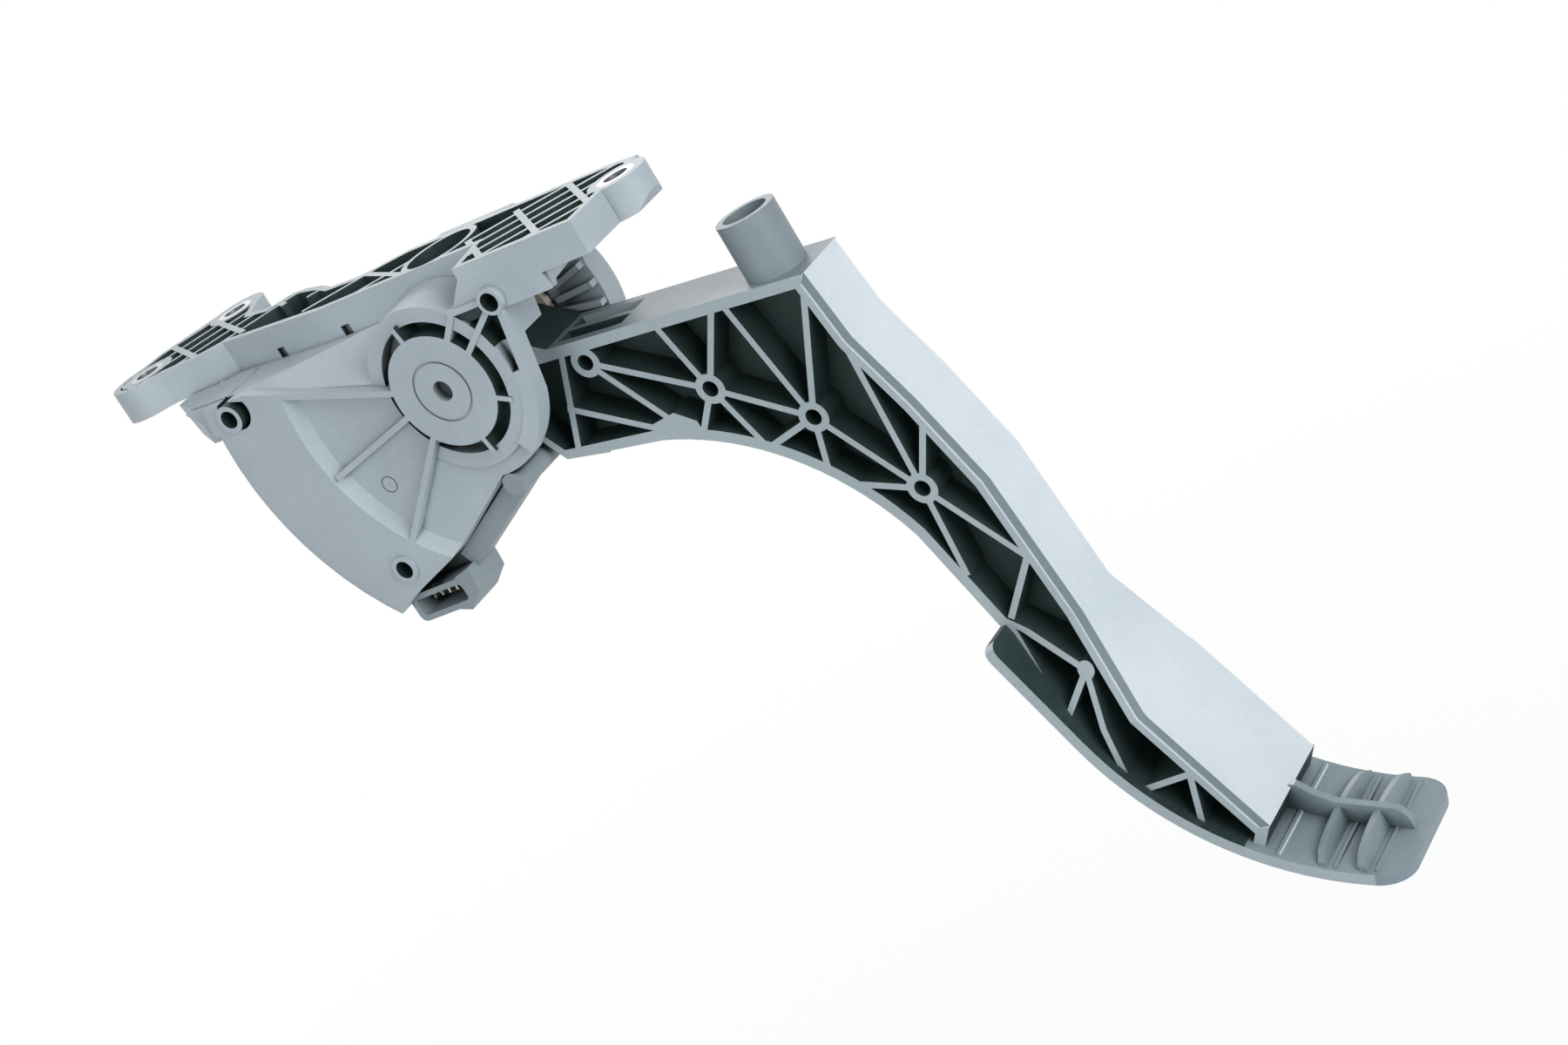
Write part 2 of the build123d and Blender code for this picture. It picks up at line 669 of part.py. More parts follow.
def pad_ribs():
    """Spine and cross ribs on the back of the pad's toe."""
    half = SPINE_THICKNESS / 2
    crest = Polyline((134.0, -172.0), (143.0, -175.5), (152.8, -182.2), (161.5, -186.6))
    toe = JernArc(crest @ 1, crest % 1, SPINE_TOE_RADIUS, -62)
    low = (134.0, -200.0)
    side = outline(
        crest,
        toe,
        Line(toe @ 1, ((toe @ 1).X, low[1])),
        Line(((toe @ 1).X, low[1]), low),
        Line(low, crest @ 0),
    )
    back_side = pad_face(PAD_THICKNESS / 2, 14.0)
    spine = slab(side & back_side, -half, half)
    ribs = spine
    reach = PAD_WIDTH / 2 - 3.0
    for x, crest_z in zip(CROSS_RIB_X, (-181.5, -186.3)):
        for side_sign in (-1, 1):
            run = Polygon(
                (0, crest_z),
                (side_sign * 5.0, crest_z - 0.8),
                (side_sign * reach, crest_z - 12.0),
                (0, crest_z - 12.0),
                align=None,
            )
            plate = Pos(x - CROSS_RIB_THICKNESS / 2, 0, 0) * extrude(
                Plane.YZ * run, amount=CROSS_RIB_THICKNESS, dir=(1, 0, 0)
            )
            ribs += plate & slab(back_side, -PAD_WIDTH / 2, PAD_WIDTH / 2)
    return ribs


def stop_post():
    """Hollow post on the arm's top that meets the bulkhead at full travel."""
    foot = -10.0
    height = POST_TOP_Z - foot
    post = Pos(POST_X, 0, foot) * extrude(Circle(POST_DIAMETER / 2), amount=height)
    bore = Pos(POST_X, 0, POST_TOP_Z - POST_BORE_DEPTH) * extrude(
        Circle(POST_DIAMETER / 2 - POST_WALL), amount=POST_BORE_DEPTH + 1
    )
    return post, bore


def hub():
    """Hub barrel between the case walls, with its web to the arm."""
    barrel = slab(Circle(HUB_DIAMETER / 2), hub_near, hub_far)
    root = outline(
        Line((0, 9.5), (22.0, -4.1)),
        Line((22.0, -4.1), (22.0, -34.5)),
        Line((22.0, -34.5), (9.0, -32.5)),
        Line((9.0, -32.5), (-8.0, -5.0)),
        Line((-8.0, -5.0), (0, 9.5)),
    )
    hollow = offset(root, amount=-RAIL, kind=Kind.INTERSECTION) - Circle(HUB_DIAMETER / 2)
    frame = slab(root, -ARM_HALF_WIDTH, ARM_HALF_WIDTH)
    depth = ARM_HALF_WIDTH - WEB / 2
    frame -= slab(hollow, -ARM_HALF_WIDTH - 1, -WEB / 2)
    frame -= slab(hollow, WEB / 2, WEB / 2 + depth + 1)
    return barrel + frame


def pivot_bore_cut():
    """Bores in the hub for the axle and the two bushes, and the holes for the rotor's pegs."""
    bush = AXLE_DIAMETER / 2 + PIVOT_BUSH_WALL
    cut = slab(Circle(AXLE_DIAMETER / 2 + 0.6), hub_near - 1, hub_far + 1)
    cut += slab(Circle(bush), hub_near - 1, hub_near + PIVOT_BUSH_LENGTH)
    cut += slab(Circle(bush), hub_far - PIVOT_BUSH_LENGTH, hub_far + 1)
    return cut + rotor_pegs()


def make_pedal_arm():
    """The whole pedal arm moulding."""
    post, bore = stop_post()
    arm = (arm_truss() & arm_width()) - top_recess()
    arm += hub() + lever() + foot_pad() + pad_ribs() + post
    arm -= bore
    arm -= pivot_bore_cut()
    return at_pivot(arm)


# Pieces on the pivot

def make_axle():
    """Plain steel axle, seated in the near wall and the rear cover."""
    return at_pivot(slab(Circle(AXLE_DIAMETER / 2), axle_near, axle_far))


def pivot_bush(flange_at, inner_end):
    """Flanged plain bush between its flange face and its inner end."""
    inner = AXLE_DIAMETER / 2 + AXLE_FIT
    sign = 1 if inner_end > flange_at else -1
    collar_end = flange_at + sign * PIVOT_BUSH_FLANGE
    sleeve = tube(inner + PIVOT_BUSH_WALL - AXLE_FIT, inner, min(flange_at, inner_end), max(flange_at, inner_end))
    collar = tube(PIVOT_BUSH_FLANGE_DIAMETER / 2, inner, min(flange_at, collar_end), max(flange_at, collar_end))
    return at_pivot(sleeve + collar)


def make_near_bush():
    start = near_inside + HUB_GAP
    return pivot_bush(start, start + PIVOT_BUSH_FLANGE + PIVOT_BUSH_LENGTH)


def make_far_bush():
    """Plain bush in the far end of the hub."""
    inner = AXLE_DIAMETER / 2 + AXLE_FIT
    return at_pivot(tube(AXLE_DIAMETER / 2 + PIVOT_BUSH_WALL, inner, hub_far - PIVOT_BUSH_LENGTH, hub_far))


def rotor_pegs():
    """Two pegs that key the rotor into the end of the hub."""
    radius = (HUB_DIAMETER / 2 + AXLE_DIAMETER / 2 + PIVOT_BUSH_WALL) / 2
    pegs = Pos(0, radius) * Circle(PEG_DIAMETER / 2) + Pos(0, -radius) * Circle(PEG_DIAMETER / 2)
    return slab(pegs, hub_far - PEG_LENGTH, hub_far)


def make_rotor():
    """Sensor rotor on the far end of the hub, with pockets for two magnets."""
    disc = tube(ROTOR_RADIUS, AXLE_DIAMETER / 2 + 0.6, hub_far, hub_far + ROTOR_THICKNESS)
    return at_pivot(disc - magnet_blocks() + rotor_pegs())


def magnet_blocks():
    """Two magnets in the rotor's far face."""
    far = hub_far + ROTOR_THICKNESS
    radius = (ROTOR_RADIUS + AXLE_DIAMETER / 2) / 2
    magnet = Rectangle(MAGNET_SIZE, MAGNET_SIZE)
    return slab(Pos(radius, 0) * magnet + Pos(-radius, 0) * magnet, far - MAGNET_DEPTH, far)


def make_magnets():
    return at_pivot(magnet_blocks())


# Springs, cup and shoe

def spring(diameter, wire, coils, lift):
    """Compression spring from the cup to the seat, with its end coils' centres inside."""
    direction = spring_direction()
    length = hypot(SPRING_BOTTOM[0] - SPRING_TOP[0], SPRING_BOTTOM[1] - SPRING_TOP[1])
    height = length - wire - 2 * lift
    path = Helix(height / coils, height, (diameter - wire) / 2)
    section = Plane(origin=path @ 0, z_dir=path % 0) * RegularPolygon(wire / 2, 8)
    coil = sweep(section, path=path, is_frenet=True)
    base = Plane(
        origin=(
            SPRING_TOP[0] + direction.X * (wire / 2 + lift),
            0,
            SPRING_TOP[1] + direction.Y * (wire / 2 + lift),
        ),
        z_dir=(direction.X, 0, direction.Y),
    )
    return at_pivot(base * coil)


def make_outer_spring():
    return spring(OUTER_SPRING_DIAMETER, OUTER_SPRING_WIRE, OUTER_SPRING_COILS, 0.15)


def make_inner_spring():
    return spring(INNER_SPRING_DIAMETER, INNER_SPRING_WIRE, INNER_SPRING_COILS, 0.15)


def make_spring_cup():
    """Cup between the lever's pad and the moving ends of the springs."""
    direction = spring_direction()
    plane = Plane(
        origin=(
            SPRING_TOP[0] - direction.X * CUP_THICKNESS,
            0,
            SPRING_TOP[1] - direction.Y * CUP_THICKNESS,
        ),
        z_dir=(direction.X, 0, direction.Y),
    )
    disc = extrude(Circle(OUTER_SPRING_DIAMETER / 2 + 0.8), amount=CUP_THICKNESS)
    peg_radius = INNER_SPRING_DIAMETER / 2 - INNER_SPRING_WIRE - 0.3
    peg = extrude(Circle(peg_radius), amount=CUP_THICKNESS + 2 * CUP_LIP)
    return at_pivot(plane * (disc + peg))


def make_friction_shoe():
    """Shoe on the lever's tip that rubs on the round wall of the case."""
    block = Pos(LEVER_RADIUS + 5, 0) * Rectangle(10, SHOE_HEIGHT) + shoe_tongue()
    face = Rot(0, 0, LEVER_ANGLE) * block & Circle(CASE_RADIUS - WALL - SHOE_CLEARANCE)
    return at_pivot(slab(face, -LEVER_WIDTH / 2, LEVER_WIDTH / 2))


def make_idle_buffer():
    """Rubber button between the idle boss and the lever's back."""
    place = idle_buffer_place()
    button = extrude(Circle(IDLE_BUFFER_DIAMETER / 2), amount=IDLE_BUFFER_HEIGHT)
    return at_pivot(Pos(place[0], 0, place[1] - IDLE_BUFFER_HEIGHT) * button)


# Rear cover and sensor

def drum_well():
    """Side view of the drum's inside, flat at the top to stay under the mounting face."""
    flat = -PIVOT_Z - DRUM_TOP_GAP - DRUM_WALL
    above = Pos(0, flat + 50) * Rectangle(200, 100)
    return Circle(DRUM_RADIUS - DRUM_WALL) - above


def make_rear_cover():
    """Far half of the case, with the sensor drum on its back and struts inside its mouth."""
    bearing = COVER_BEARING_DIAMETER / 2
    plate = slab(case_outline(), SPLIT_Y, cover_outside)
    bridge = Polygon((-46.0, -50.0), (-25.0, -38.0), (-26.0, -55.0), (-46.0, -62.0), align=None)
    plate += slab(connector_frame() * connector_plan(0), SPLIT_Y, cover_outside)
    plate += slab(bridge, SPLIT_Y, cover_outside)
    plate += slab(Circle(DRUM_RADIUS), SPLIT_Y, drum_end)
    plate -= slab(drum_well(), SPLIT_Y + DRUM_FLOOR, drum_end + 1)
    plate += slab(Circle(bearing), SPLIT_Y, lid_inside - HUB_GAP)
    plate -= slab(Circle(AXLE_DIAMETER / 2), SPLIT_Y - 1, axle_far)
    for angle in STRUT_ANGLES:
        strut = bar(polar(ROTOR_RADIUS + 3, angle), polar(DRUM_RADIUS - 0.5, angle), STRUT_THICKNESS)
        plate += slab(strut, SPLIT_Y - STRUT_DEPTH, SPLIT_Y + 0.5)
    plate -= screw_holes(SCREW_CORE_DIAMETER + 0.4, SPLIT_Y - 1, cover_outside + 1)
    above = Pos(0, 0, 50.0 - DRUM_TOP_GAP) * Box(400, 80, 100)
    return at_pivot(plate) - above


def make_sensor_board():
    """Round circuit board on the floor of the drum."""
    start = SPLIT_Y + DRUM_FLOOR
    return at_pivot(tube(BOARD_RADIUS, COVER_BEARING_DIAMETER / 2, start, start + BOARD_THICKNESS))


def make_sensor_chips():
    """Two sensing chips over the path of the magnets."""
    chips = Sketch()
    radius = COVER_BEARING_DIAMETER / 2 + CHIP_SIZE / 2 + 0.5
    for angle in (0, 180):
        chips += Rot(0, 0, angle) * Pos(radius, 0) * Rectangle(CHIP_SIZE, CHIP_SIZE)
    start = SPLIT_Y + DRUM_FLOOR + BOARD_THICKNESS
    return at_pivot(slab(chips, start, start + CHIP_HEIGHT))


def make_sensor_lid():
    """Lid pressed into the drum over the board."""
    return at_pivot(slab(drum_well(), lid_inside, drum_end))


def make_lid_seal():
    """Ring seal behind the rim of the lid."""
    ring = drum_well() - offset(drum_well(), amount=-SEAL_WIDTH, kind=Kind.INTERSECTION)
    return at_pivot(slab(ring, lid_inside - SEAL_HEIGHT, lid_inside))


# Connector

def connector_frame():
    """Side-view placement of the connector, tilted along the case's lower wall."""
    return Pos(*CONNECTOR_CENTRE) * Rot(0, 0, CONNECTOR_TILT)


def connector_plan(inset):
    """End view of the connector's shroud, shrunk by inset."""
    return RectangleRounded(CONNECTOR_LENGTH - 2 * inset, CONNECTOR_HEIGHT - 2 * inset, 2.0 - inset / 2)


def make_connector():
    """Shroud with its latch, the duct along the case and the dowel stub at its upper end."""
    frame = connector_frame()
    inner = frame * connector_plan(CONNECTOR_WALL)
    duct_start = (frame * Pos(CONNECTOR_LENGTH / 2 - 1, CONNECTOR_HEIGHT / 2)).position
    latch = frame * Pos(CONNECTOR_LENGTH / 2 - 1, CONNECTOR_HEIGHT / 2) * Rectangle(LATCH_LENGTH, LATCH_HEIGHT)
    duct = bar((duct_start.X, duct_start.Y), STUB_PLACE, DUCT_DIAMETER)
    duct_end = NEAR_FACE + 8.0 + DUCT_DIAMETER
    body = slab(frame * connector_plan(0), CONNECTOR_MOUTH_Y, SPLIT_Y)
    body += slab(latch, CONNECTOR_MOUTH_Y - 3, 2.0)
    body += slab(duct, NEAR_FACE + 8.0, duct_end)
    body += slab(Pos(*STUB_PLACE) * Circle(STUB_DIAMETER / 2), NEAR_FACE + 4.0, duct_end)
    body -= slab(inner, CONNECTOR_MOUTH_Y - 5, CONNECTOR_FLOOR_Y)
    body -= slab(case_outline(), NEAR_FACE - 1, SPLIT_Y)
    return at_pivot(body - terminal_pins())


def terminal_pins():
    """Row of flat pins that stand in the connector's floor."""
    pitch = (CONNECTOR_LENGTH - 2 * CONNECTOR_WALL) / TERMINAL_COUNT
    pins = Sketch()
    for i in range(TERMINAL_COUNT):
        x = (i - (TERMINAL_COUNT - 1) / 2) * pitch
        pins += Pos(x, 0) * Rectangle(TERMINAL_THICKNESS, 2 * TERMINAL_THICKNESS)
    root = CONNECTOR_FLOOR_Y + TERMINAL_ROOT
    return slab(connector_frame() * pins, root - TERMINAL_LENGTH, root)


def make_terminals():
    return at_pivot(terminal_pins())


# Fasteners

def make_cover_screws():
    """Three self-tapping screws that come in from the far side."""
    tip = cover_outside - SCREW_LENGTH
    shanks = screw_holes(SCREW_SHANK_DIAMETER, tip, cover_outside)
    heads = screw_holes(SCREW_HEAD_DIAMETER, cover_outside, cover_outside + SCREW_HEAD_HEIGHT)
    sockets = Sketch()
    for place in SCREW_PLACES:
        sockets += Pos(*place) * RegularPolygon(SCREW_SOCKET / 2, 6)
    head_end = cover_outside + SCREW_HEAD_HEIGHT
    return at_pivot(shanks + heads - slab(sockets, head_end - SCREW_SOCKET_DEPTH, head_end + 1))


def make_mounting_bushes():
    """Steel sleeves that carry the bolts' clamping load through the ears."""
    rings = Sketch()
    for x, y, radius in hole_places():
        rings += Pos(x, y) * (Circle(BUSH_OUTER_DIAMETER / 2) - Circle(BUSH_BORE / 2))
    return Pos(0, 0, -FLANGE_DEPTH) * extrude(rings, amount=FLANGE_DEPTH)


PIECES = {
    "housing": make_housing,
    "pedal_arm": make_pedal_arm,
    "pivot_axle": make_axle,
    "near_pivot_bush": make_near_bush,
    "far_pivot_bush": make_far_bush,
    "sensor_rotor": make_rotor,
    "rotor_magnets": make_magnets,
    "outer_return_spring": make_outer_spring,
    "inner_return_spring": make_inner_spring,
    "spring_cup": make_spring_cup,
    "friction_shoe": make_friction_shoe,
    "idle_buffer": make_idle_buffer,
    "rear_cover": make_rear_cover,
    "sensor_board": make_sensor_board,
    "sensor_chips": make_sensor_chips,
    "sensor_lid": make_sensor_lid,
    "lid_seal": make_lid_seal,
    "connector": make_connector,
    "terminals": make_terminals,
    "cover_screws": make_cover_screws,
    "mounting_bushes": make_mounting_bushes,
}

os.makedirs("parts", exist_ok=True)
for name, make in PIECES.items():
    export_step(solid_of(make()), f"parts/{name}.step")
    print(name)
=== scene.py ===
import math

import bmesh
import bpy
from mathutils import Matrix, Vector
from mathutils.bvhtree import BVHTree


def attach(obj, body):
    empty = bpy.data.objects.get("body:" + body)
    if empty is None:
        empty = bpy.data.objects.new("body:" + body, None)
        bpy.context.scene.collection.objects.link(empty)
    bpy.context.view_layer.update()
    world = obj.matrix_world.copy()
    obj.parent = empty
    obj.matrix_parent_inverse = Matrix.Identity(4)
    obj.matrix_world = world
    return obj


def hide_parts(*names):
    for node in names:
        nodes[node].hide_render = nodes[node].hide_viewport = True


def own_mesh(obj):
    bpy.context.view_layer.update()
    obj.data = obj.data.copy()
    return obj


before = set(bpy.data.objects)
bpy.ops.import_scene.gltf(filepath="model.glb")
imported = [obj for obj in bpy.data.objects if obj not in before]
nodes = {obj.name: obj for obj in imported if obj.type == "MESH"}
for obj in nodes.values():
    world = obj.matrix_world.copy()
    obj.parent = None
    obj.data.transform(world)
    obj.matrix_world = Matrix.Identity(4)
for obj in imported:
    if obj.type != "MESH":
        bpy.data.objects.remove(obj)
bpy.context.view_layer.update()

MM = 0.001


def placed(name, data):
    """A new object of this data, in the scene."""
    item = bpy.data.objects.new(name, data)
    bpy.context.scene.collection.objects.link(item)
    return item


def linear(hex_colour):
    """An sRGB hex colour as the linear colour that a shader takes."""
    channels = [int(hex_colour[i:i + 2], 16) / 255 for i in (1, 3, 5)]
    curve = [c / 12.92 if c <= 0.04045 else ((c + 0.055) / 1.055) ** 2.4 for c in channels]
    return (*curve, 1.0)


# Materials

def new_material(name):
    """A new material and its emptied node tree."""
    material = bpy.data.materials.new(name)
    material.use_nodes = True
    material.node_tree.nodes.clear()
    return material, material.node_tree


def add(tree, kind, links=None, **settings):
    """A node with its settings, and its inputs set to values or linked to other nodes' sockets."""
    node = tree.nodes.new(kind)
    for name, value in settings.items():
        setattr(node, name, value)
    for name, value in (links or {}).items():
        if isinstance(value, bpy.types.NodeSocket):
            tree.links.new(value, node.inputs[name])
        else:
            node.inputs[name].default_value = value
    return node


def ramp(tree, value, low, high, start=0.0, end=1.0):
    """A socket that goes from start to end while the value goes from low to high."""
    return add(tree, "ShaderNodeMapRange", {0: value, 1: low, 2: high, 3: start, 4: end}).outputs[0]


# Painted shade for a moulding's hollows: its colour, and the open shares of sky at which the painted shade is full
# and gone
PAINTED_SHADE = "#1A2625"
PAINTED_SHADE_FULL, PAINTED_SHADE_NONE = 0.22, 0.62
# Size of the faint flow marks in a moulding's skin
FLOW_MM = 38


def moulded_plastic(name, dark, light, roughness, grain_mm=0.9, grain_depth=0.02, specular=0.5, shade_reach_mm=0):
    """Injection-moulded plastic: a soft satin skin with faint flow marks and a spark-eroded grain.

    With a reach it paints shade into the colour: it turns to the painted shade colour where walls that near keep the
    light off."""
    material, tree = new_material(name)
    place = add(tree, "ShaderNodeTexCoord").outputs["Object"]
    flow = add(tree, "ShaderNodeTexNoise", {"Vector": place, "Scale": 1 / (FLOW_MM * MM), "Detail": 3.0,
                                            "Roughness": 0.55})
    speck = add(tree, "ShaderNodeTexNoise", {"Vector": place, "Scale": 1 / (grain_mm * MM), "Detail": 2.0})
    most = add(tree, "ShaderNodeMath", {0: flow.outputs["Fac"], 1: 0.75}, operation="MULTIPLY")
    both = add(tree, "ShaderNodeMath", {0: speck.outputs["Fac"], 1: 0.25, 2: most.outputs[0]},
               operation="MULTIPLY_ADD")
    spread = ramp(tree, both.outputs[0], 0.36, 0.64)
    skin = add(tree, "ShaderNodeMix", {0: spread, 6: linear(dark), 7: linear(light)}, data_type="RGBA")
    if shade_reach_mm:
        # Painted shade: ambient occlusion darkens the colour in narrow hollows
        sky = add(tree, "ShaderNodeAmbientOcclusion", {"Distance": shade_reach_mm * MM}, samples=20)
        depth = ramp(tree, sky.outputs["AO"], PAINTED_SHADE_FULL, PAINTED_SHADE_NONE, 1.0, 0.0)
        skin = add(tree, "ShaderNodeMix", {0: depth, 6: skin.outputs[2], 7: linear(PAINTED_SHADE)}, data_type="RGBA")
    rough = ramp(tree, flow.outputs["Fac"], 0.3, 0.7, roughness - 0.05, roughness + 0.06)
    bump = add(tree, "ShaderNodeBump", {"Height": speck.outputs["Fac"], "Strength": 0.35,
                                       "Distance": grain_depth * MM})
    shader = add(tree, "ShaderNodeBsdfPrincipled", {"Base Color": skin.outputs[2], "Roughness": rough,
                                                   "Normal": bump.outputs[0], "Specular IOR Level": specular})
    add(tree, "ShaderNodeOutputMaterial", {"Surface": shader.outputs[0]})
    return material


def worked_metal(name, dark, light, roughness, brush_mm):
    """Steel or tin with fine marks of its working, drawn along the part's X axis."""
    material, tree = new_material(name)
    place = add(tree, "ShaderNodeTexCoord").outputs["Object"]
    stretch = add(tree, "ShaderNodeMapping", {"Vector": place, "Scale": (0.15, 1.0, 1.0)})
    marks = add(tree, "ShaderNodeTexNoise", {"Vector": stretch.outputs[0], "Scale": 1 / (brush_mm * MM),
                                             "Detail": 3.0})
    spread = ramp(tree, marks.outputs["Fac"], 0.3, 0.7)
    skin = add(tree, "ShaderNodeMix", {0: spread, 6: linear(dark), 7: linear(light)}, data_type="RGBA")
    rough = ramp(tree, marks.outputs["Fac"], 0.0, 1.0, roughness - 0.08, roughness + 0.1)
    bump = add(tree, "ShaderNodeBump", {"Height": marks.outputs["Fac"], "Strength": 0.2, "Distance": 0.01 * MM})
    shader = add(tree, "ShaderNodeBsdfPrincipled", {"Base Color": skin.outputs[2], "Roughness": rough,
                                                   "Metallic": 1.0, "Normal": bump.outputs[0]})
    add(tree, "ShaderNodeOutputMaterial", {"Surface": shader.outputs[0]})
    return material


# Glass-filled polyamide, moulded and grained: satin, cool grey where the light reaches it; the arm's copy is lighter,
# with painted light, and both take painted shade in narrow hollows
case_skin = moulded_plastic("glass_filled_polyamide_case_skin", "#A6B1B7", "#B5C0C6", 0.46, shade_reach_mm=5)
arm_skin = moulded_plastic("glass_filled_polyamide_arm_skin", "#C6D0D6", "#D6DFE5", 0.44, shade_reach_mm=8)
# The same plastic down in the moulded pockets as a dark green-grey copy: painted shade where the pockets keep the
# light off
pocket_shade = moulded_plastic("glass_filled_polyamide_painted_shade_pockets", "#1F2D2C", "#304140", 0.6, specular=0.3)
# Darker copies of the same plastic on faces that get less light: painted shade
pad_back_shade = moulded_plastic("glass_filled_polyamide_painted_shade_pad_back", "#74838A", "#8A989F", 0.42, shade_reach_mm=12)
pad_heel_shade = moulded_plastic("glass_filled_polyamide_painted_shade_pad_heel", "#4E5C61", "#5E6D72", 0.46)
connector_shade = moulded_plastic("glass_filled_polyamide_painted_shade_connector", "#849095", "#919DA2", 0.5, shade_reach_mm=5)
rib_edge_shade = moulded_plastic("glass_filled_polyamide_painted_shade_rib_edge", "#9FACB1", "#ADB9BD", 0.44)
front_step_shade = moulded_plastic("glass_filled_polyamide_painted_shade_front_step", "#77848A", "#848F96", 0.46)
# Acetal, moulded smooth: slightly waxy, off-white
acetal = moulded_plastic("moulded_acetal", "#C9C4B4", "#D8D3C4", 0.34, grain_mm=2.0, grain_depth=0.004)
# Nitrile rubber, moulded matt
nitrile = moulded_plastic("moulded_nitrile_rubber", "#141414", "#1F1F1E", 0.72, grain_mm=0.6, specular=0.3)
# Epoxy glass laminate under a green coat
laminate = moulded_plastic("coated_epoxy_glass_laminate", "#0E3A20", "#14502C", 0.3, grain_mm=0.5, grain_depth=0.006)
# Filled epoxy, cast matt and near black
epoxy = moulded_plastic("moulded_epoxy_chip", "#101113", "#1B1C1F", 0.5, grain_mm=0.4)
# Turned steel, zinc plated: bright, faintly marked by the tool
zinc_steel = worked_metal("turned_zinc_plated_steel", "#9C9FA3", "#BEC1C4", 0.32, 0.5)
# Turned steel made dark and dull: painted shade for the axle's end, which shows down in the disc's hole
axle_shade_steel = worked_metal("axle_steel_painted_shade", "#3E4143", "#575A5C", 0.5, 0.5)
# Patented spring wire, drawn dark
spring_wire = worked_metal("drawn_spring_wire", "#55575B", "#6E7175", 0.38, 0.6)
# Stamped brass, tinned: warm white metal
tinned_brass = worked_metal("stamped_tinned_brass", "#B9B4A6", "#CFCABE", 0.3, 0.4)
# Sintered magnets with a nickel coat: grey and even
nickel = worked_metal("nickel_plated_magnet", "#8E8F92", "#A9AAAD", 0.28, 0.5)


# Forms, in millimetres: side views are (x, z) from the pivot, plans are (x, y) in the part's frame

PIVOT_X, PIVOT_Z = 24.5, -27.0


def closed_mesh(points, faces):
    """A mesh of a closed skin with its normals outwards."""
    mesh = bpy.data.meshes.new("form")
    mesh.from_pydata(points, [], faces)
    work = bmesh.new()
    work.from_mesh(mesh)
    bmesh.ops.recalc_face_normals(work, faces=work.faces)
    work.to_mesh(mesh)
    work.free()
    return mesh


def block(outline, low, high, place):
    """The closed skin between two copies of an outline, put into space by place."""
    count = len(outline)
    points = [place(u, v, level) for level in (low, high) for u, v in outline]
    faces = [tuple(range(count)), tuple(range(count, 2 * count))]
    faces += [(i, (i + 1) % count, (i + 1) % count + count, i + count) for i in range(count)]
    return closed_mesh(points, faces)


def side_block(outline, near, far):
    """A block from a side view, between two depths."""
    return block(outline, near, far, lambda u, v, level: (PIVOT_X + u, level, PIVOT_Z + v))


def plan_block(outline, low, high):
    """A block from a plan, between two heights."""
    return block(outline, low, high, lambda u, v, level: (u, v, level))


def end_block(outline, left, right):
    """A block from an end view, between two lengths."""
    return block(outline, left, right, lambda u, v, level: (PIVOT_X + level, u, PIVOT_Z + v))


def turned(profile, place=(0.0, 0.0), sides=72):
    """A closed (radius, y) profile turned round an axis along Y, set at a side-view place."""
    points, rows = [], []
    for radius, y in profile:
        row = []
        for i in range(sides if radius else 1):
            turn = 2 * math.pi * i / sides
            row.append(len(points))
            points.append((PIVOT_X + place[0] + radius * math.cos(turn), y,
                           PIVOT_Z + place[1] + radius * math.sin(turn)))
        rows.append(row if radius else row * sides)
    faces = []
    for row, after in zip(rows, rows[1:] + rows[:1]):
        for i in range(sides):
            j = (i + 1) % sides
            ring = list(dict.fromkeys((row[i], row[j], after[j], after[i])))
            if len(ring) > 2:
                faces.append(ring)
    return closed_mesh(points, faces)


def disc(radius, near, far, place=(0.0, 0.0), sides=72):
    """A round bar along the pivot."""
    return turned([(0, near), (radius, near), (radius, far), (0, far)], place, sides)


def pipe(outer, inner, near, far, place=(0.0, 0.0), sides=72):
    """A tube along the pivot."""
    return turned([(inner, near), (outer, near), (outer, far), (inner, far)], place, sides)


def polar(radius, angle):
    """The point at a radius and an angle in degrees."""
    return (radius * math.cos(math.radians(angle)), radius * math.sin(math.radians(angle)))


def arc(centre, radius, start, end, steps):
    """Points of a round arc between two angles, both ends in."""
    spread = [start + (end - start) * i / steps for i in range(steps + 1)]
    return [(centre[0] + polar(radius, a)[0], centre[1] + polar(radius, a)[1]) for a in spread]


def arc_through(a, b, c, steps):
    """Points of the arc from a through b to c."""
    (ax, ay), (bx, by), (cx, cy) = a, b, c
    d = 2 * (ax * (by - cy) + bx * (cy - ay) + cx * (ay - by))
    ux = ((ax * ax + ay * ay) * (by - cy) + (bx * bx + by * by) * (cy - ay) + (cx * cx + cy * cy) * (ay - by)) / d
    uy = ((ax * ax + ay * ay) * (cx - bx) + (bx * bx + by * by) * (ax - cx) + (cx * cx + cy * cy) * (bx - ax)) / d
    start, middle, end = (math.degrees(math.atan2(y - uy, x - ux)) for x, y in (a, b, c))
    sweep = (end - start) % 360
    if (middle - start) % 360 > sweep:
        sweep -= 360
    return arc((ux, uy), math.hypot(ax - ux, ay - uy), start, start + sweep, steps)


def ring_of(radius, place=(0.0, 0.0), sides=48):
    """Points round a circle."""
    return arc(place, radius, 0, 360 * (sides - 1) / sides, sides - 1)


def strip(start, end, thickness):
    """A straight strip between two points."""
    dx, dy = end[0] - start[0], end[1] - start[1]
    length = math.hypot(dx, dy)
    nx, ny = -dy / length * thickness / 2, dx / length * thickness / 2
    return [(start[0] + nx, start[1] + ny), (start[0] - nx, start[1] - ny),
            (end[0] - nx, end[1] - ny), (end[0] + nx, end[1] + ny)]


def box_outline(left, right, low, high):
    """Corners of an upright box."""
    return [(left, low), (right, low), (right, high), (left, high)]


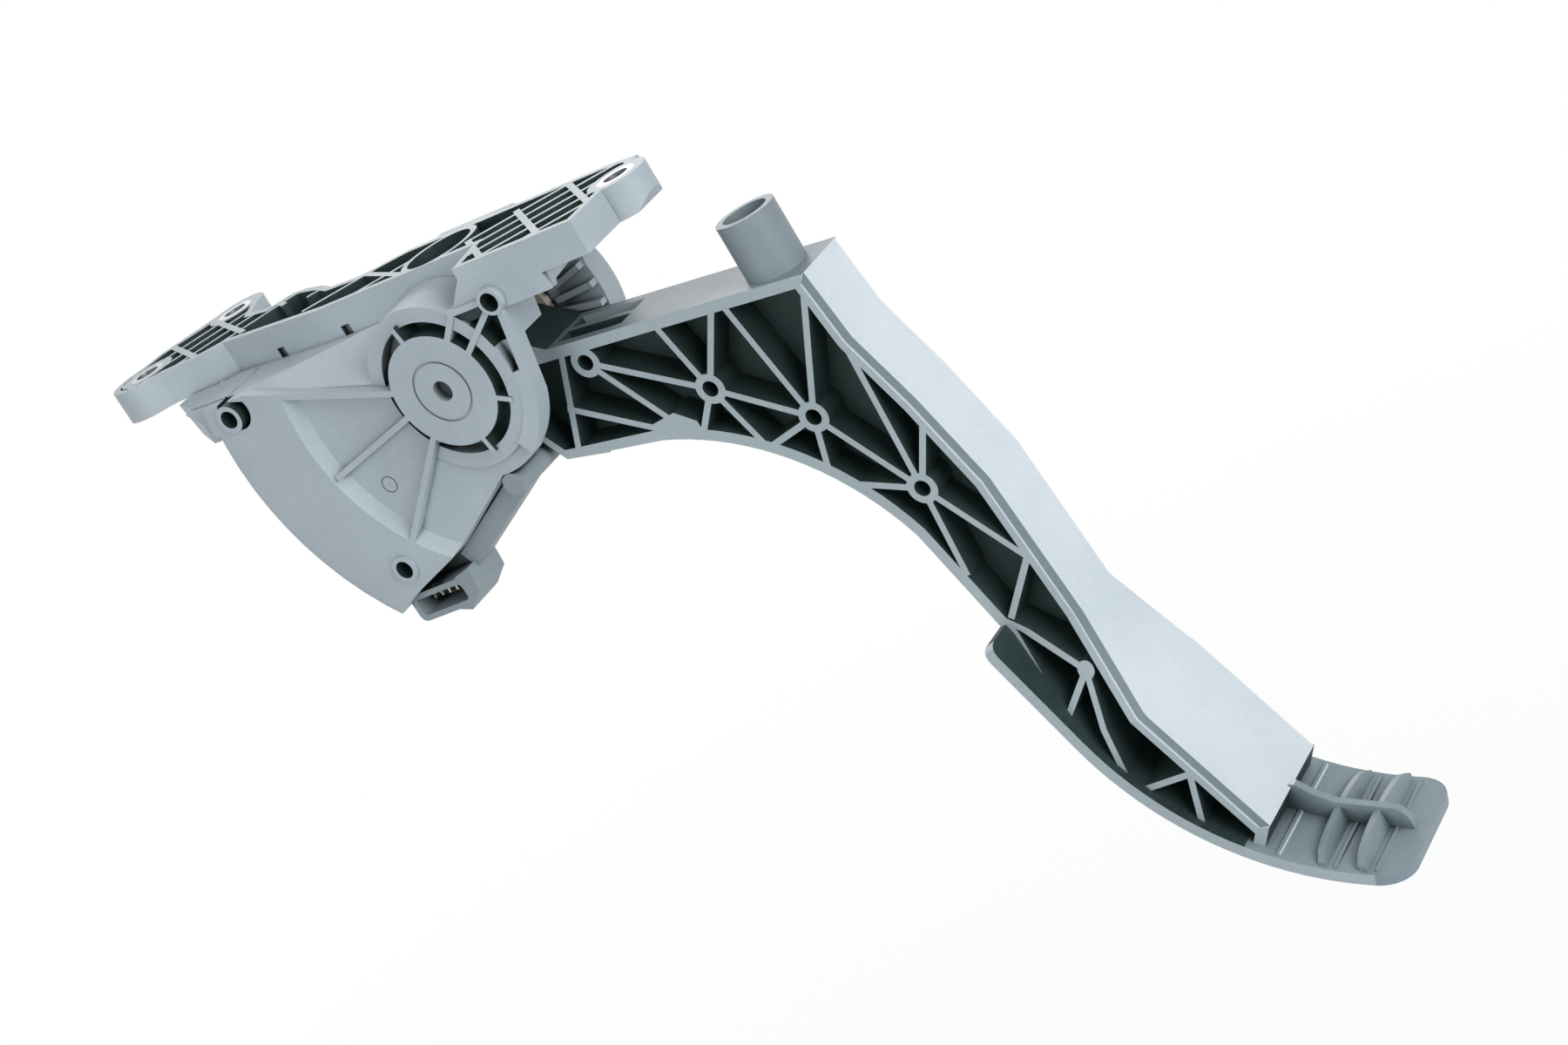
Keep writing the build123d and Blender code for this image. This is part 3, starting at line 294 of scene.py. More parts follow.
def inset(outline, by):
    """The outline drawn in by a distance, with sharp corners."""
    area = sum(a[0] * b[1] - b[0] * a[1] for a, b in zip(outline, outline[1:] + outline[:1]))
    turn = 1 if area > 0 else -1
    drawn = []
    for before, at, after in zip(outline[-1:] + outline[:-1], outline, outline[1:] + outline[:1]):
        first = Vector((at[0] - before[0], at[1] - before[1])).normalized()
        second = Vector((after[0] - at[0], after[1] - at[1])).normalized()
        n1, n2 = Vector((-first.y, first.x)) * turn, Vector((-second.y, second.x)) * turn
        middle = n1 + n2
        middle *= by / max(middle.dot(n1), 0.2)
        drawn.append((at[0] + middle.x, at[1] + middle.y))
    return drawn


def in_front(origin, normal, size=300.0):
    """A large block that stands on a plane, on the side of its normal; the origin is from the pivot."""
    turn = Vector(normal).to_track_quat("Z", "X").to_matrix()
    half = size / 2
    corners = [(x, y, z) for z in (0, size) for x, y in ((-half, -half), (half, -half), (half, half), (-half, half))]
    start = Vector(origin) + Vector((PIVOT_X, 0, PIVOT_Z))
    points = [tuple(start + turn @ Vector(corner)) for corner in corners]
    faces = [(0, 1, 2, 3), (4, 5, 6, 7)] + [(i, (i + 1) % 4, (i + 1) % 4 + 4, i + 4) for i in range(4)]
    return closed_mesh(points, faces)


def shaped(body, *steps):
    """The body after a row of steps: each is UNION, DIFFERENCE or INTERSECT and the meshes it is done with."""
    blank = placed("blank", body)
    bench = [blank]
    for operation, tools in steps:
        for tool in tools:
            helper = placed("tool", tool)
            bench.append(helper)
            step = blank.modifiers.new("step", "BOOLEAN")
            step.operation, step.solver, step.object = operation, "MANIFOLD", helper
    mesh = bpy.data.meshes.new_from_object(blank.evaluated_get(bpy.context.evaluated_depsgraph_get()))
    for item in bench:
        bpy.data.objects.remove(item)
    return mesh


def joined(*meshes):
    """Meshes put together as one, not cut."""
    return shaped(meshes[0], ("UNION", meshes[1:]))


# The case

NEAR_FACE, NEAR_PANEL, NEAR_INSIDE, SPLIT_Y = -25.0, -22.0, -19.4, 13.0
WALL = 2.6
CASE_TOP = 18.0
CASE_RADIUS, CASE_START, CASE_END = 76.0, 173.0, 223.5
CASE_EDGE_ROUND = 2.5
BAND_INNER, BAND_SLOPE = 47.0, 3.0
NECK_RADIUS = 26.6
DISC_RADIUS, SLOT_OUTER, COLLAR_RADIUS = 15.3, 18.6, 22.6
SLOT_END, POCKET_END = -18.0, -18.5
FACE_RIB, SLOT_RIB = 1.6, 1.4
SCREW_TUBES = (((28.9, 16.6), 3.5), ((-66.8, 13.6), 3.9), ((-43.4, -40.2), 3.7))
SCREW_CORE = 2.5
RELIEF_RADIUS, RELIEF_PLACE, RELIEF_END = 5.0, (-64.9, 14.6), -21.0
FLANGE_NEAR_Y = -9.0
# Ribs of the near face: their angle on the disc and their far end
FACE_RIBS = ((165, (-74.0, 21.5)), (192, (-47.0, -11.5)), (223, SCREW_TUBES[2][0]), (49, (18.5, 20.0)),
             (25, SCREW_TUBES[0][0]))
SLOT_RIB_ANGLES = (100, -25, -79)
# The lever and the line of the return springs inside the case
LEVER_ANGLE, LEVER_LENGTH, LEVER_ROOT, LEVER_TIP = 184.0, 69.0, 14.0, 9.0
SPRING_FOOT, SPRING_TOP = Vector((-27.0, -35.5)), Vector((-36.0, -13.0))
SPRING_DOWN = (SPRING_FOOT - SPRING_TOP).normalized()


def case_outline(by=0.0):
    """Side view of the case: spring sector, neck round the pivot, flat top."""
    start = polar(CASE_RADIUS, CASE_START)
    points = arc((0, 0), CASE_RADIUS, CASE_START, CASE_END, 30)
    points += [(-45.4, -47.8), (-28.2, -41.9)]
    points += arc((0, 0), NECK_RADIUS, -92, -22, 16)
    points += [(31.0, CASE_TOP), (start[0] - 8.0, CASE_TOP)]
    return inset(points, by) if by else points


def shoulder(by):
    """The blocks that cut the slopes between the near face and the flange's edge."""
    slope = 8.0 / (FLANGE_NEAR_Y - NEAR_PANEL)
    foot = NEAR_FACE - 20
    foot_z = CASE_TOP - 8.0 - slope * (NEAR_PANEL - foot)
    wedge = [(foot, foot_z - by), (FLANGE_NEAR_Y, CASE_TOP - by), (FLANGE_NEAR_Y, CASE_TOP + 20),
             (foot, CASE_TOP + 20)]
    left, right = Vector((-60.0, NEAR_PANEL, 17.5)), Vector((-18.0, NEAR_PANEL, 6.5))
    back = Vector((-18.0, FLANGE_NEAR_Y, CASE_TOP))
    normal = (right - left).cross(back - right).normalized()
    if normal.z < 0:
        normal = -normal
    room = side_block(box_outline(-138, -17.9, -100, 100), FLANGE_NEAR_Y - 60, FLANGE_NEAR_Y)
    return [end_block(wedge, -18.0, 14.0),
            shaped(in_front(right - normal * by, normal), ("INTERSECT", [room]))]


def rim_hollow(by, low):
    """Side view of the hollow between the collar, the case's rim and the top."""
    return shaped(side_block(case_outline(by), NEAR_FACE - 3, SPLIT_Y),
                  ("INTERSECT", [side_block(box_outline(14.0 + by / 2, 74, low, 27), NEAR_FACE - 2, SPLIT_Y - 1)]))


def between(mesh, near, far):
    """The part of a mesh between two depths."""
    return shaped(mesh, ("INTERSECT", [side_block(box_outline(-150, 250, -250, 80), near, far)]))


def raised_band():
    """The outer band of the near face, with a soft slope down to the panel."""
    ring = turned([(BAND_INNER, NEAR_PANEL + 0.5), (BAND_INNER, NEAR_PANEL), (BAND_INNER + BAND_SLOPE, NEAR_FACE),
                   (CASE_RADIUS + 0.2, NEAR_FACE), (CASE_RADIUS + 0.2, NEAR_PANEL + 0.5)], sides=144)
    over_long_rib = side_block([(-110, 32.0), (-10, 2.3), (-10, 60), (-110, 60)], NEAR_FACE - 1, SPLIT_Y)
    other_side = side_block([(-30, 60), (-22.0, -60), (120, -60), (120, 60)], NEAR_FACE - 1, SPLIT_Y)
    whole = side_block(case_outline(), NEAR_FACE - 1, SPLIT_Y)
    return shaped(ring, ("DIFFERENCE", [over_long_rib, other_side]), ("INTERSECT", [whole]))


def neck_rim():
    """The raised rim of the neck, right of the collar."""
    side = [(0, 0), polar(70, -58), (70, 40), (14.0, 40), (14.0, 0)]
    whole = side_block(case_outline(), NEAR_FACE, NEAR_PANEL + 0.5)
    return shaped(whole, ("INTERSECT", [side_block(side, NEAR_FACE - 1, SPLIT_Y)]),
                  ("DIFFERENCE", [disc(COLLAR_RADIUS - 0.3, NEAR_FACE - 1, SPLIT_Y), rim_hollow(FACE_RIB, -2)]))


def collar():
    """Short cylinder round the disc, its near end sloped down to the panel on the left."""
    far = NEAR_FACE + 16
    body = turned([(0, NEAR_FACE), (COLLAR_RADIUS, NEAR_FACE), (COLLAR_RADIUS + 0.8, far), (0, far)])
    return shaped(body, ("DIFFERENCE", [in_front((0, NEAR_FACE + 1.5, 0), (-1.5 / COLLAR_RADIUS, -1, 0))]))


def edge_round():
    """What the round along the case's near outer edge takes away."""
    r, y = CASE_RADIUS - CASE_EDGE_ROUND, NEAR_FACE + CASE_EDGE_ROUND
    curve = [(r + CASE_EDGE_ROUND * math.sin(t), y - CASE_EDGE_ROUND * math.cos(t))
             for t in (math.radians(a) for a in range(0, 91, 15))]
    ring = turned(curve + [(CASE_RADIUS + 3, y), (CASE_RADIUS + 3, NEAR_FACE - 2), (r, NEAR_FACE - 2)])
    far_up, far_down = polar(200, CASE_START - 1), polar(200, CASE_END + 1)
    return shaped(ring, ("INTERSECT", [side_block([(0, 0), far_up, far_down], NEAR_FACE - 5, SPLIT_Y)]))


def lever_back(x):
    """Height of the lever's back over the pivot at x."""
    share = abs(x) / LEVER_LENGTH
    half = (LEVER_ROOT * (1 - share) + LEVER_TIP * share) / 2
    tilt = math.radians(LEVER_ANGLE)
    return x * math.tan(tilt) + half / abs(math.cos(tilt))


def spring_seat():
    """Block under the springs' feet, down to the case's wall."""
    end = (SPRING_FOOT.x + SPRING_DOWN.x * 16, SPRING_FOOT.y + SPRING_DOWN.y * 16)
    column = side_block(strip(SPRING_FOOT, end, 15.6), NEAR_INSIDE - 0.5, SPLIT_Y)
    return shaped(column, ("INTERSECT", [side_block(case_outline(WALL / 2), NEAR_FACE, SPLIT_Y + 1)]))


def idle_stop():
    """Round stop that hangs from the case's top over the lever."""
    low = max(lever_back(-44.5), lever_back(-35.5)) + 4.0
    return plan_block(ring_of(6.0, (PIVOT_X - 40.0, 0.0)), PIVOT_Z + low, PIVOT_Z + CASE_TOP + 0.5)


def left_gusset():
    """Wall from the case's upper left corner out to the left arm of the flange."""
    side = [(-68.0, CASE_TOP + 0.4), (-94.5, CASE_TOP + 0.4), (-88.5, 10.0), (-82.5, 7.6), (-68.0, 7.6)]
    plan = [(-43.5, -21.4), (-57.5, -20.0), (-70.5, -11.0), (-70.5, -6.0), (-43.5, -6.0)]
    return shaped(side_block(side, NEAR_PANEL, -6.0), ("INTERSECT", [plan_block(plan, -30, 5)]))


def case():
    """The housing's case: walls, near face, slot, screw tubes, spring seat and the arm's mouth."""
    whole = side_block(case_outline(), NEAR_PANEL, SPLIT_Y)
    outer = shaped(whole, ("DIFFERENCE", shoulder(0)), ("UNION", [raised_band(), neck_rim(), left_gusset()]),
                   ("DIFFERENCE", [edge_round()]), ("UNION", [collar()]))
    inner = shaped(side_block(case_outline(WALL), NEAR_INSIDE, SPLIT_Y + 1), ("DIFFERENCE", shoulder(WALL)))
    behind_hollow = shaped(between(rim_hollow(FACE_RIB / 2, 4.5), NEAR_INSIDE - 0.5, POCKET_END + 1.6),
                           ("DIFFERENCE", [disc(SLOT_OUTER + 1.6, NEAR_FACE, 0)]))
    hollow = shaped(between(rim_hollow(FACE_RIB, 5.6), NEAR_FACE - 1, POCKET_END),
                    ("DIFFERENCE", [disc(COLLAR_RADIUS, NEAR_FACE - 2, 0)]))
    ribs = [side_block(strip(polar(DISC_RADIUS - 1, angle), end, FACE_RIB), NEAR_FACE, NEAR_INSIDE - 0.5)
            for angle, end in FACE_RIBS]
    slot_ribs = [side_block(strip(polar(DISC_RADIUS - 1, a), polar(SLOT_OUTER + 1, a), SLOT_RIB),
                            NEAR_FACE, SLOT_END + 0.5) for a in SLOT_RIB_ANGLES]
    whole_face = side_block(case_outline(), NEAR_FACE - 2, SPLIT_Y)
    tubes = [disc(radius, NEAR_FACE - 1, SPLIT_Y, place, 40) for place, radius in SCREW_TUBES]
    groove = pipe(8.5, 7.8, NEAR_FACE - 1, NEAR_FACE + 0.4)
    left_tube, left_radius = SCREW_TUBES[1]
    over_rib = side_block([(-80.0, 22.4), (-50.0, 13.5), (-50.0, 40.0), (-80.0, 40.0)], -40, 0)
    relief = shaped(disc(RELIEF_RADIUS, NEAR_FACE - 2, RELIEF_END, RELIEF_PLACE, 40),
                    ("DIFFERENCE", [disc(left_radius, NEAR_FACE - 3, 0, left_tube, 40), over_rib]))
    mark = pipe(2.4, 2.1, NEAR_PANEL - 1, NEAR_PANEL + 0.3, (-35.3, -18.6), 36)
    mouth = [(8, 14), (60, 14), (60, -60), (-4, -60), (-4, -24)]
    low_mouth = [(14, 5), (60, 5), (60, -60), (6, -60), (6, -22)]
    face_ribs = shaped(joined(*ribs), ("INTERSECT", [whole_face]))
    hub_disc = disc(DISC_RADIUS, NEAR_FACE, NEAR_INSIDE)
    openings = [side_block(mouth, -11.0, SPLIT_Y + 1), side_block(low_mouth, NEAR_INSIDE, 0)]
    return shaped(
        outer,
        ("DIFFERENCE", [inner]),
        ("UNION", [pipe(SLOT_OUTER + 1.6, DISC_RADIUS - 1.6, NEAR_INSIDE - 0.5, SLOT_END + 1.6), behind_hollow]),
        ("DIFFERENCE", [pipe(SLOT_OUTER, DISC_RADIUS, NEAR_FACE - 1, SLOT_END), hollow, mark]),
        ("UNION", [face_ribs] + slot_ribs + [hub_disc] + tubes + [spring_seat(), idle_stop()]),
        ("DIFFERENCE", [groove, relief] + openings),
    )


# The flange

FLANGE_DEPTH, FLANGE_FLOOR, FLANGE_RIM, FLANGE_RIB = 9.0, 2.4, 2.2, 1.8
EARS = ((85.5, 0.0, 8.1), (-85.5, 0.0, 10.5), (-73.0, 28.0, 8.9))
LUG_LEFT, LUG_RIGHT, LUG_NEAR_Y, LUG_SKIRT = 47.0, 86.0, -24.0, 13.5
PORT = (25.0, 1.0)
PORT_RADIUS = 11.0
BUSH_HOLE = 5.25
NOTCHES = ((-6.5, -9.0), (-33.5, -5.2))
NOTCH_WIDTH, NOTCH_HEIGHT = 3.0, 2.8


def flange_outline():
    """Plan of the flange without its round ears."""
    return [
        (LUG_LEFT, LUG_NEAR_Y), (LUG_RIGHT, LUG_NEAR_Y), (LUG_RIGHT, 11), (LUG_RIGHT - 12, 13), (6, 13), (-8, 7.5),
        (-20, 9), (-28, 14.5), (-37, 18.5), (-43, 19.5), (-48, 14.5), (-58, 17.5), (-66.8, 34.0), (-79.5, 33.0),
        (-92, 14), (-93.5, 5), (-83.5, -10), (-75, -6.2), (-61, -4.8), (-54, -1.4), (-48, -2.6), (-37, -4.6),
        (-12, FLANGE_NEAR_Y), (LUG_LEFT - 3, FLANGE_NEAR_Y),
    ]


def rib_field(centre, angle, pitch, count, length):
    """Parallel flange ribs at an angle, spread evenly about a centre."""
    along, across = Vector(polar(length / 2, angle)), Vector(polar(pitch, angle + 90))
    ribs = []
    for i in range(count):
        middle = Vector(centre) + across * (i - (count - 1) / 2)
        ribs.append(plan_block(strip(middle - along, middle + along, FLANGE_RIB), -FLANGE_DEPTH + 1, 3))
    return ribs


def flange():
    """Tray open towards the bulkhead, with ribs, ear seats and the round port."""
    right, middle, left = (68, -5), (2, 2), (-70, 10)
    ribs = rib_field(right, 30, 8.0, 5, 50) + rib_field(right, 132, 14.0, 4, 44)
    ribs += rib_field(middle, 32, 15.0, 4, 46) + rib_field(middle, 148, 30.0, 3, 34)
    ribs += rib_field(left, 50, 9.0, 5, 54) + rib_field(left, 142, 13.0, 4, 46)
    low = FLANGE_FLOOR - FLANGE_DEPTH
    outline = flange_outline()
    body = joined(plan_block(outline, -FLANGE_DEPTH, 0),
                  *[plan_block(ring_of(r, (x, y)), -FLANGE_DEPTH, 0) for x, y, r in EARS])
    pockets = joined(plan_block(inset(outline, FLANGE_RIM), low, 1),
                     *[plan_block(ring_of(r - FLANGE_RIM, (x, y)), low, 1) for x, y, r in EARS])
    seats = [plan_block(ring_of(7.8, (x, y)), low - 1, 3) for x, y, r in EARS]
    seats.append(plan_block(ring_of(PORT_RADIUS, PORT), low - 1, 3))
    pockets = shaped(pockets, ("DIFFERENCE", ribs + seats))
    cuts = [pockets, plan_block(ring_of(PORT_RADIUS - FLANGE_RIB, PORT), low, 1)]
    cuts += [plan_block(ring_of(BUSH_HOLE, (x, y)), -FLANGE_DEPTH - 1, 1) for x, y, r in EARS]
    ear_end = [(90.8 - PIVOT_X, -9.01 - PIVOT_Z), (96.0 - PIVOT_X, -9.01 - PIVOT_Z), (96.0 - PIVOT_X, -4.0 - PIVOT_Z)]
    cuts.append(side_block(ear_end, -20, 20))
    half = NOTCH_WIDTH / 2
    for x, y in NOTCHES:
        notch = box_outline(x - half, x + half, y - half, y + half)
        cuts.append(plan_block(notch, -FLANGE_DEPTH - 1, -FLANGE_DEPTH + NOTCH_HEIGHT))
    return shaped(body, ("DIFFERENCE", cuts))


def lug_skirt():
    """Deep near wall under the right end of the flange, its lower edge slanted."""
    face = [(LUG_LEFT + 1.8, -1.0), (LUG_RIGHT, -1.0), (LUG_RIGHT, -6.0), (71.9, 1.5 - LUG_SKIRT), (71.0, -LUG_SKIRT),
            (LUG_LEFT - 10.7, -LUG_SKIRT)]
    face = [(x - PIVOT_X, z - PIVOT_Z) for x, z in face]
    step = box_outline(70.5 - PIVOT_X, 90, -1 - LUG_SKIRT - 12 - PIVOT_Z, -1 - PIVOT_Z)
    return shaped(side_block(face, LUG_NEAR_Y, LUG_NEAR_Y + FLANGE_RIM),
                  ("DIFFERENCE", [side_block(step, LUG_NEAR_Y - 1, LUG_NEAR_Y + 1.2)]))


def housing_form():
    """Case, flange and skirt in one, with the screws' cores and the axle's hole."""
    cores = [disc(SCREW_CORE, NEAR_FACE - 2, SPLIT_Y + 1, place, 32) for place, radius in SCREW_TUBES]
    axle = [disc(4.0, NEAR_PANEL - 0.5, NEAR_INSIDE + 1, sides=48), disc(2.8, NEAR_FACE - 1, NEAR_INSIDE, sides=40)]
    return shaped(case(), ("UNION", [flange(), lug_skirt()]), ("DIFFERENCE", cores + axle))


# The pedal arm

ARM_HALF, FLARE_HALF, FLARE_START, FLARE_END = 9.5, 17.5, -112.0, -139.0
RAIL, RIB, WEB = 3.0, 1.7, 2.0
FRONT_RAIL_EXTRA = 1.2
FRONT_STEP_WIDTH, FRONT_STEP_DEPTH = 2.3, 0.8
FRONT_FACE = [(116.8, -72.0), (120.7, -112.0), (126.4, -137.5), (141.8, -175.0)]
FRONT_LINE = [(100.6, -9.4), (103.2, -28.0), (110.0, -47.5)] + FRONT_FACE
NODE_RADII = {"a": 4.1, "b": 4.1, "c": 4.1, "d": 4.1, "e": 2.3}
NODE_CORE = 2.15
END_WALL_FOOT = (134.7, -179.4)
NODES = {"a": (30.6, -10.8), "b": (59.7, -28.0), "c": (82.1, -43.4), "d": (99.0, -69.2), "e": (116.0, -124.6)}
TRUSS = [
    ((26.5, -4.0), (13.0, -33.0)), ((17.8, -20.2), (43.5, -35.5)), ("a", "b"), ("a", (48.5, -38.5)),
    ((54.5, -6.0), "b"), ("b", (74.0, -7.0)), ("b", (49.8, -39.0)), ("b", (66.0, -48.0)), ("b", "c"),
    ((75.5, -8.0), "c"), ("c", (98.6, -13.0)), ("c", (64.0, -47.5)), ("c", (77.0, -60.0)), ("c", "d"),
    ((101.0, -24.0), "d"), ("d", (111.0, -50.0)),
    ("d", (79.0, -61.5)), ("d", (97.4, -94.0)), ("d", (116.0, -95.0)), ((116.0, -93.0), (102.0, -108.0)),
    ((100.0, -108.0), "e"), ("e", (104.5, -136.0)), ("e", (113.0, -158.0)), ((112.0, -157.5), (131.0, -156.0)),
    ((129.5, -157.0), (124.0, -176.0)),
]
PAD_HALF, PAD_THICKNESS = 20.0, 3.0
PAD_START, PAD_SLOPE, PAD_STRAIGHT = (96.8, -110.0), -72.35, 32.0
PAD_BEND_RADIUS, PAD_BEND, PAD_TOE = 83.6, 54.3, 9.4
POST_X, POST_RADIUS, POST_TOP = 88.3, 7.8, 7.0
HUB_NEAR, HUB_FAR = -17.7, 10.3
CUP_THICKNESS, POST_WALL, POST_BORE = 1.6, 2.0, 13.0


def arm_outline():
    """Side view of the arm between its hub and its meeting with the pad."""
    return ([(14.0, -3.6)] + FRONT_LINE
            + [(137.0, -181.3), (128.0, -173.7), (115.8, -158.1), (107.7, -140.1), (98.3, -110.0)]
            + arc_through((90.6, -80.2), (68.0, -50.2), (38.5, -36.2), 18) + [(9.0, -32.5)])


def width_outline(by):
    """End view of the arm: narrow above, flared towards the pad, drawn in by a distance on both sides."""
    side = [(ARM_HALF - by, 30), (ARM_HALF - by, FLARE_START), (FLARE_HALF - by, FLARE_END), (FLARE_HALF - by, -230)]
    return side + [(-y, z) for y, z in reversed(side)]


def arm_truss():
    """Rails, lattice ribs, node rings and the middle web."""
    outline = arm_outline()
    ribs = [strip(NODES.get(a, a), NODES.get(b, b), RIB) for a, b in TRUSS]
    ribs += [ring_of(NODE_RADII[name], place, 32) for name, place in NODES.items()]
    ribs += [strip(a, b, 2 * (RAIL + FRONT_RAIL_EXTRA)) for a, b in zip(FRONT_LINE, FRONT_LINE[1:])]
    ribs += [ring_of(RAIL + FRONT_RAIL_EXTRA, place, 32) for place in FRONT_LINE[1:]]
    ribs.append([(38.5, -31.5), (46.0, -30.5), (51.0, -34.5), (51.0, -40.0), (38.5, -40.0)])
    half = FLARE_HALF
    inner = inset(outline, RAIL)
    inner[0], inner[-1] = (6.0, -6.2), (3.0, -29.3)
    inner[8:12] = [END_WALL_FOOT] + outline[9:12]  # no rail on the pad: the pockets reach its back
    cores = [disc(NODE_CORE, -half - 1, half + 1, place, 24) for name, place in NODES.items() if name != "e"]
    pockets = shaped(side_block(inner, -half - 1, half + 1),
                     ("DIFFERENCE", [side_block(rib, -half - 2, half + 2) for rib in ribs]),
                     ("UNION", cores),
                     ("DIFFERENCE", [side_block(box_outline(-50, 200, -230, 50), -WEB / 2, WEB / 2)]))
    step = side_block(inset(outline, -2.0)[1:8] + inset(outline, FRONT_STEP_WIDTH)[7:0:-1], -30, 30)
    step = shaped(step, ("DIFFERENCE", [end_block(width_outline(FRONT_STEP_DEPTH), -20, 220)]))
    recess = [side_block(box_outline(24.0, 44.0, -7.0, -1.0), low, low + 5.5) for low in (-6.5, 1.0)]
    return shaped(side_block(outline, -half, half), ("DIFFERENCE", [pockets]),
                  ("INTERSECT", [end_block(width_outline(0), -20, 220)]), ("DIFFERENCE", recess + [step]))


def pad_line(lift):
    """Points along the pad, raised by lift from its foot side, and their distance from the heel."""
    slope = math.radians(PAD_SLOPE)
    along, up = Vector((math.cos(slope), math.sin(slope))), Vector((-math.sin(slope), math.cos(slope)))
    start = Vector(PAD_START)
    centre = start + along * PAD_STRAIGHT + up * PAD_BEND_RADIUS
    end_slope = slope + math.radians(PAD_BEND)
    end_along = Vector((math.cos(end_slope), math.sin(end_slope)))
    end_up = Vector((-end_along.y, end_along.x))
    bend_length = PAD_BEND_RADIUS * math.radians(PAD_BEND)
    total = PAD_STRAIGHT + bend_length + PAD_TOE
    stations = [0, 0.25, 0.9, 1.9, 3.0, PAD_STRAIGHT]
    stations += [PAD_STRAIGHT + bend_length * i / 20 for i in range(1, 21)]
    stations += [total - d for d in (8.0, 6.5, 5.0, 3.6, 2.4, 1.4, 0.6, 0.15, 0.0)]
    points = []
    for s in stations:
        if s <= PAD_STRAIGHT:
            point = start + along * s + up * lift
        elif s <= PAD_STRAIGHT + bend_length:
            turn = slope + (s - PAD_STRAIGHT) / PAD_BEND_RADIUS
            point = centre + Vector((math.sin(turn), -math.cos(turn))) * (PAD_BEND_RADIUS - lift)
        else:
            point = centre - end_up * (PAD_BEND_RADIUS - lift) + end_along * (s - PAD_STRAIGHT - bend_length)
        points.append(tuple(point))
    return points, stations


def pad_side(low, high):
    """Side view of the pad's plate between two heights over its foot side."""
    return pad_line(low)[0] + pad_line(high)[0][::-1]


def foot_pad():
    """Curved plate with rounded corners, in cross-sections from heel to toe."""
    under, stations = pad_line(0)
    back = pad_line(PAD_THICKNESS)[0]
    points = []
    for low, high, s in zip(under, back, stations):
        half = PAD_HALF
        for corner, rest in ((3.0, s), (8.0, stations[-1] - s)):
            if rest < corner:
                half = min(half, PAD_HALF - corner + math.sqrt(corner ** 2 - (corner - rest) ** 2))
        for (x, z), y in ((low, -half), (low, half), (high, half), (high, -half)):
            points.append((PIVOT_X + x, y, PIVOT_Z + z))
    faces = [(0, 1, 2, 3), tuple(range(len(points) - 4, len(points)))]
    for row in range(len(stations) - 1):
        a = 4 * row
        faces += [(a + i, a + (i + 1) % 4, a + 4 + (i + 1) % 4, a + 4 + i) for i in range(4)]
    return closed_mesh(points, faces)


def pad_ribs():
    """Spine and cross ribs on the back of the pad's toe, and the fine lines beside them."""
    crest = [(134.0, -171.0), (142.9, -174.4), (146.3, -178.2), (150.6, -181.6), (160.3, -185.3), (163.5, -186.6)]
    slope = math.degrees(math.atan2(-1.3, 3.2))
    centre = (163.5 + polar(5.0, slope - 90)[0], -186.6 + polar(5.0, slope - 90)[1])
    toe = arc(centre, 5.0, slope + 90, slope + 28, 6)
    spine = crest + toe[1:] + [(toe[-1][0], -200.0), (134.0, -200.0)]
    over = side_block(pad_side(PAD_THICKNESS / 2, 14.0), -PAD_HALF, PAD_HALF)
    fall = ((0.0, 0.0), (8.0, -0.3), (13.0, -0.9), (16.0, -1.6), (18.8, -3.4))
    tools = []
    for x, top in ((150.6, -183.0), (159.8, -186.2)):
        ridge = [(y, top + drop) for y, drop in fall]
        profile = [(-y, z) for y, z in reversed(ridge[1:])] + ridge + [(18.8, top - 14), (-18.8, top - 14)]
        tools.append(end_block(profile, x - 0.9, x + 0.9))
    ribs = [shaped(tool, ("INTERSECT", [over])) for tool in [side_block(spine, -1.1, 1.1)] + tools]
    low_over = side_block(pad_side(PAD_THICKNESS / 2, PAD_THICKNESS + 0.5), -18.8, 18.8)
    for x in (141.2, 153.4, 162.8):
        ribs.append(shaped(side_block(box_outline(x - 0.35, x + 0.35, -220, -160), -18.8, 18.8),
                           ("INTERSECT", [low_over])))
    return ribs


def hub():
    """Hub barrel between the case walls, with its web to the arm."""
    root = [(0, 9.5), (22.0, -4.1), (22.0, -34.5), (9.0, -32.5), (-8.0, -5.0)]
    top = [(0, 9.5), (22.0, -4.1), (21.0, -6.8), (-4.0, 6.5)]
    under = [(-8.0, -5.0), (-5.5, -5.6), (10.2, -30.6), (22.0, -32.5), (22.0, -34.5), (9.0, -32.5)]
    return joined(side_block(root, -WEB / 2, WEB / 2), side_block(top, -ARM_HALF, ARM_HALF),
                  side_block(under, -ARM_HALF, ARM_HALF), disc(10.0, HUB_NEAR, HUB_FAR))


def lever():
    """Lever into the spring case, with the pad that carries the spring cup."""
    tilt = math.radians(LEVER_ANGLE)

    def turn(p):
        return p[0] * math.cos(tilt) - p[1] * math.sin(tilt), p[0] * math.sin(tilt) + p[1] * math.cos(tilt)

    root, tip, length = LEVER_ROOT / 2, LEVER_TIP / 2, LEVER_LENGTH
    beam = side_block([turn(p) for p in ((0, root), (0, -root), (length, -tip), (length, tip))], -8, 8)
    tongue = side_block([turn(p) for p in box_outline(length - 3.0, length + 0.5, -1.5, 1.5)], -9, 9)
    end = SPRING_TOP - SPRING_DOWN * CUP_THICKNESS
    under = side_block([turn(p) for p in box_outline(0, length, 0, 28.0)], -9, 9)
    pad = shaped(side_block(strip(end - SPRING_DOWN * 12, end, 13.6), -8, 8), ("INTERSECT", [under]))
    return joined(shaped(beam, ("DIFFERENCE", [tongue])), pad)


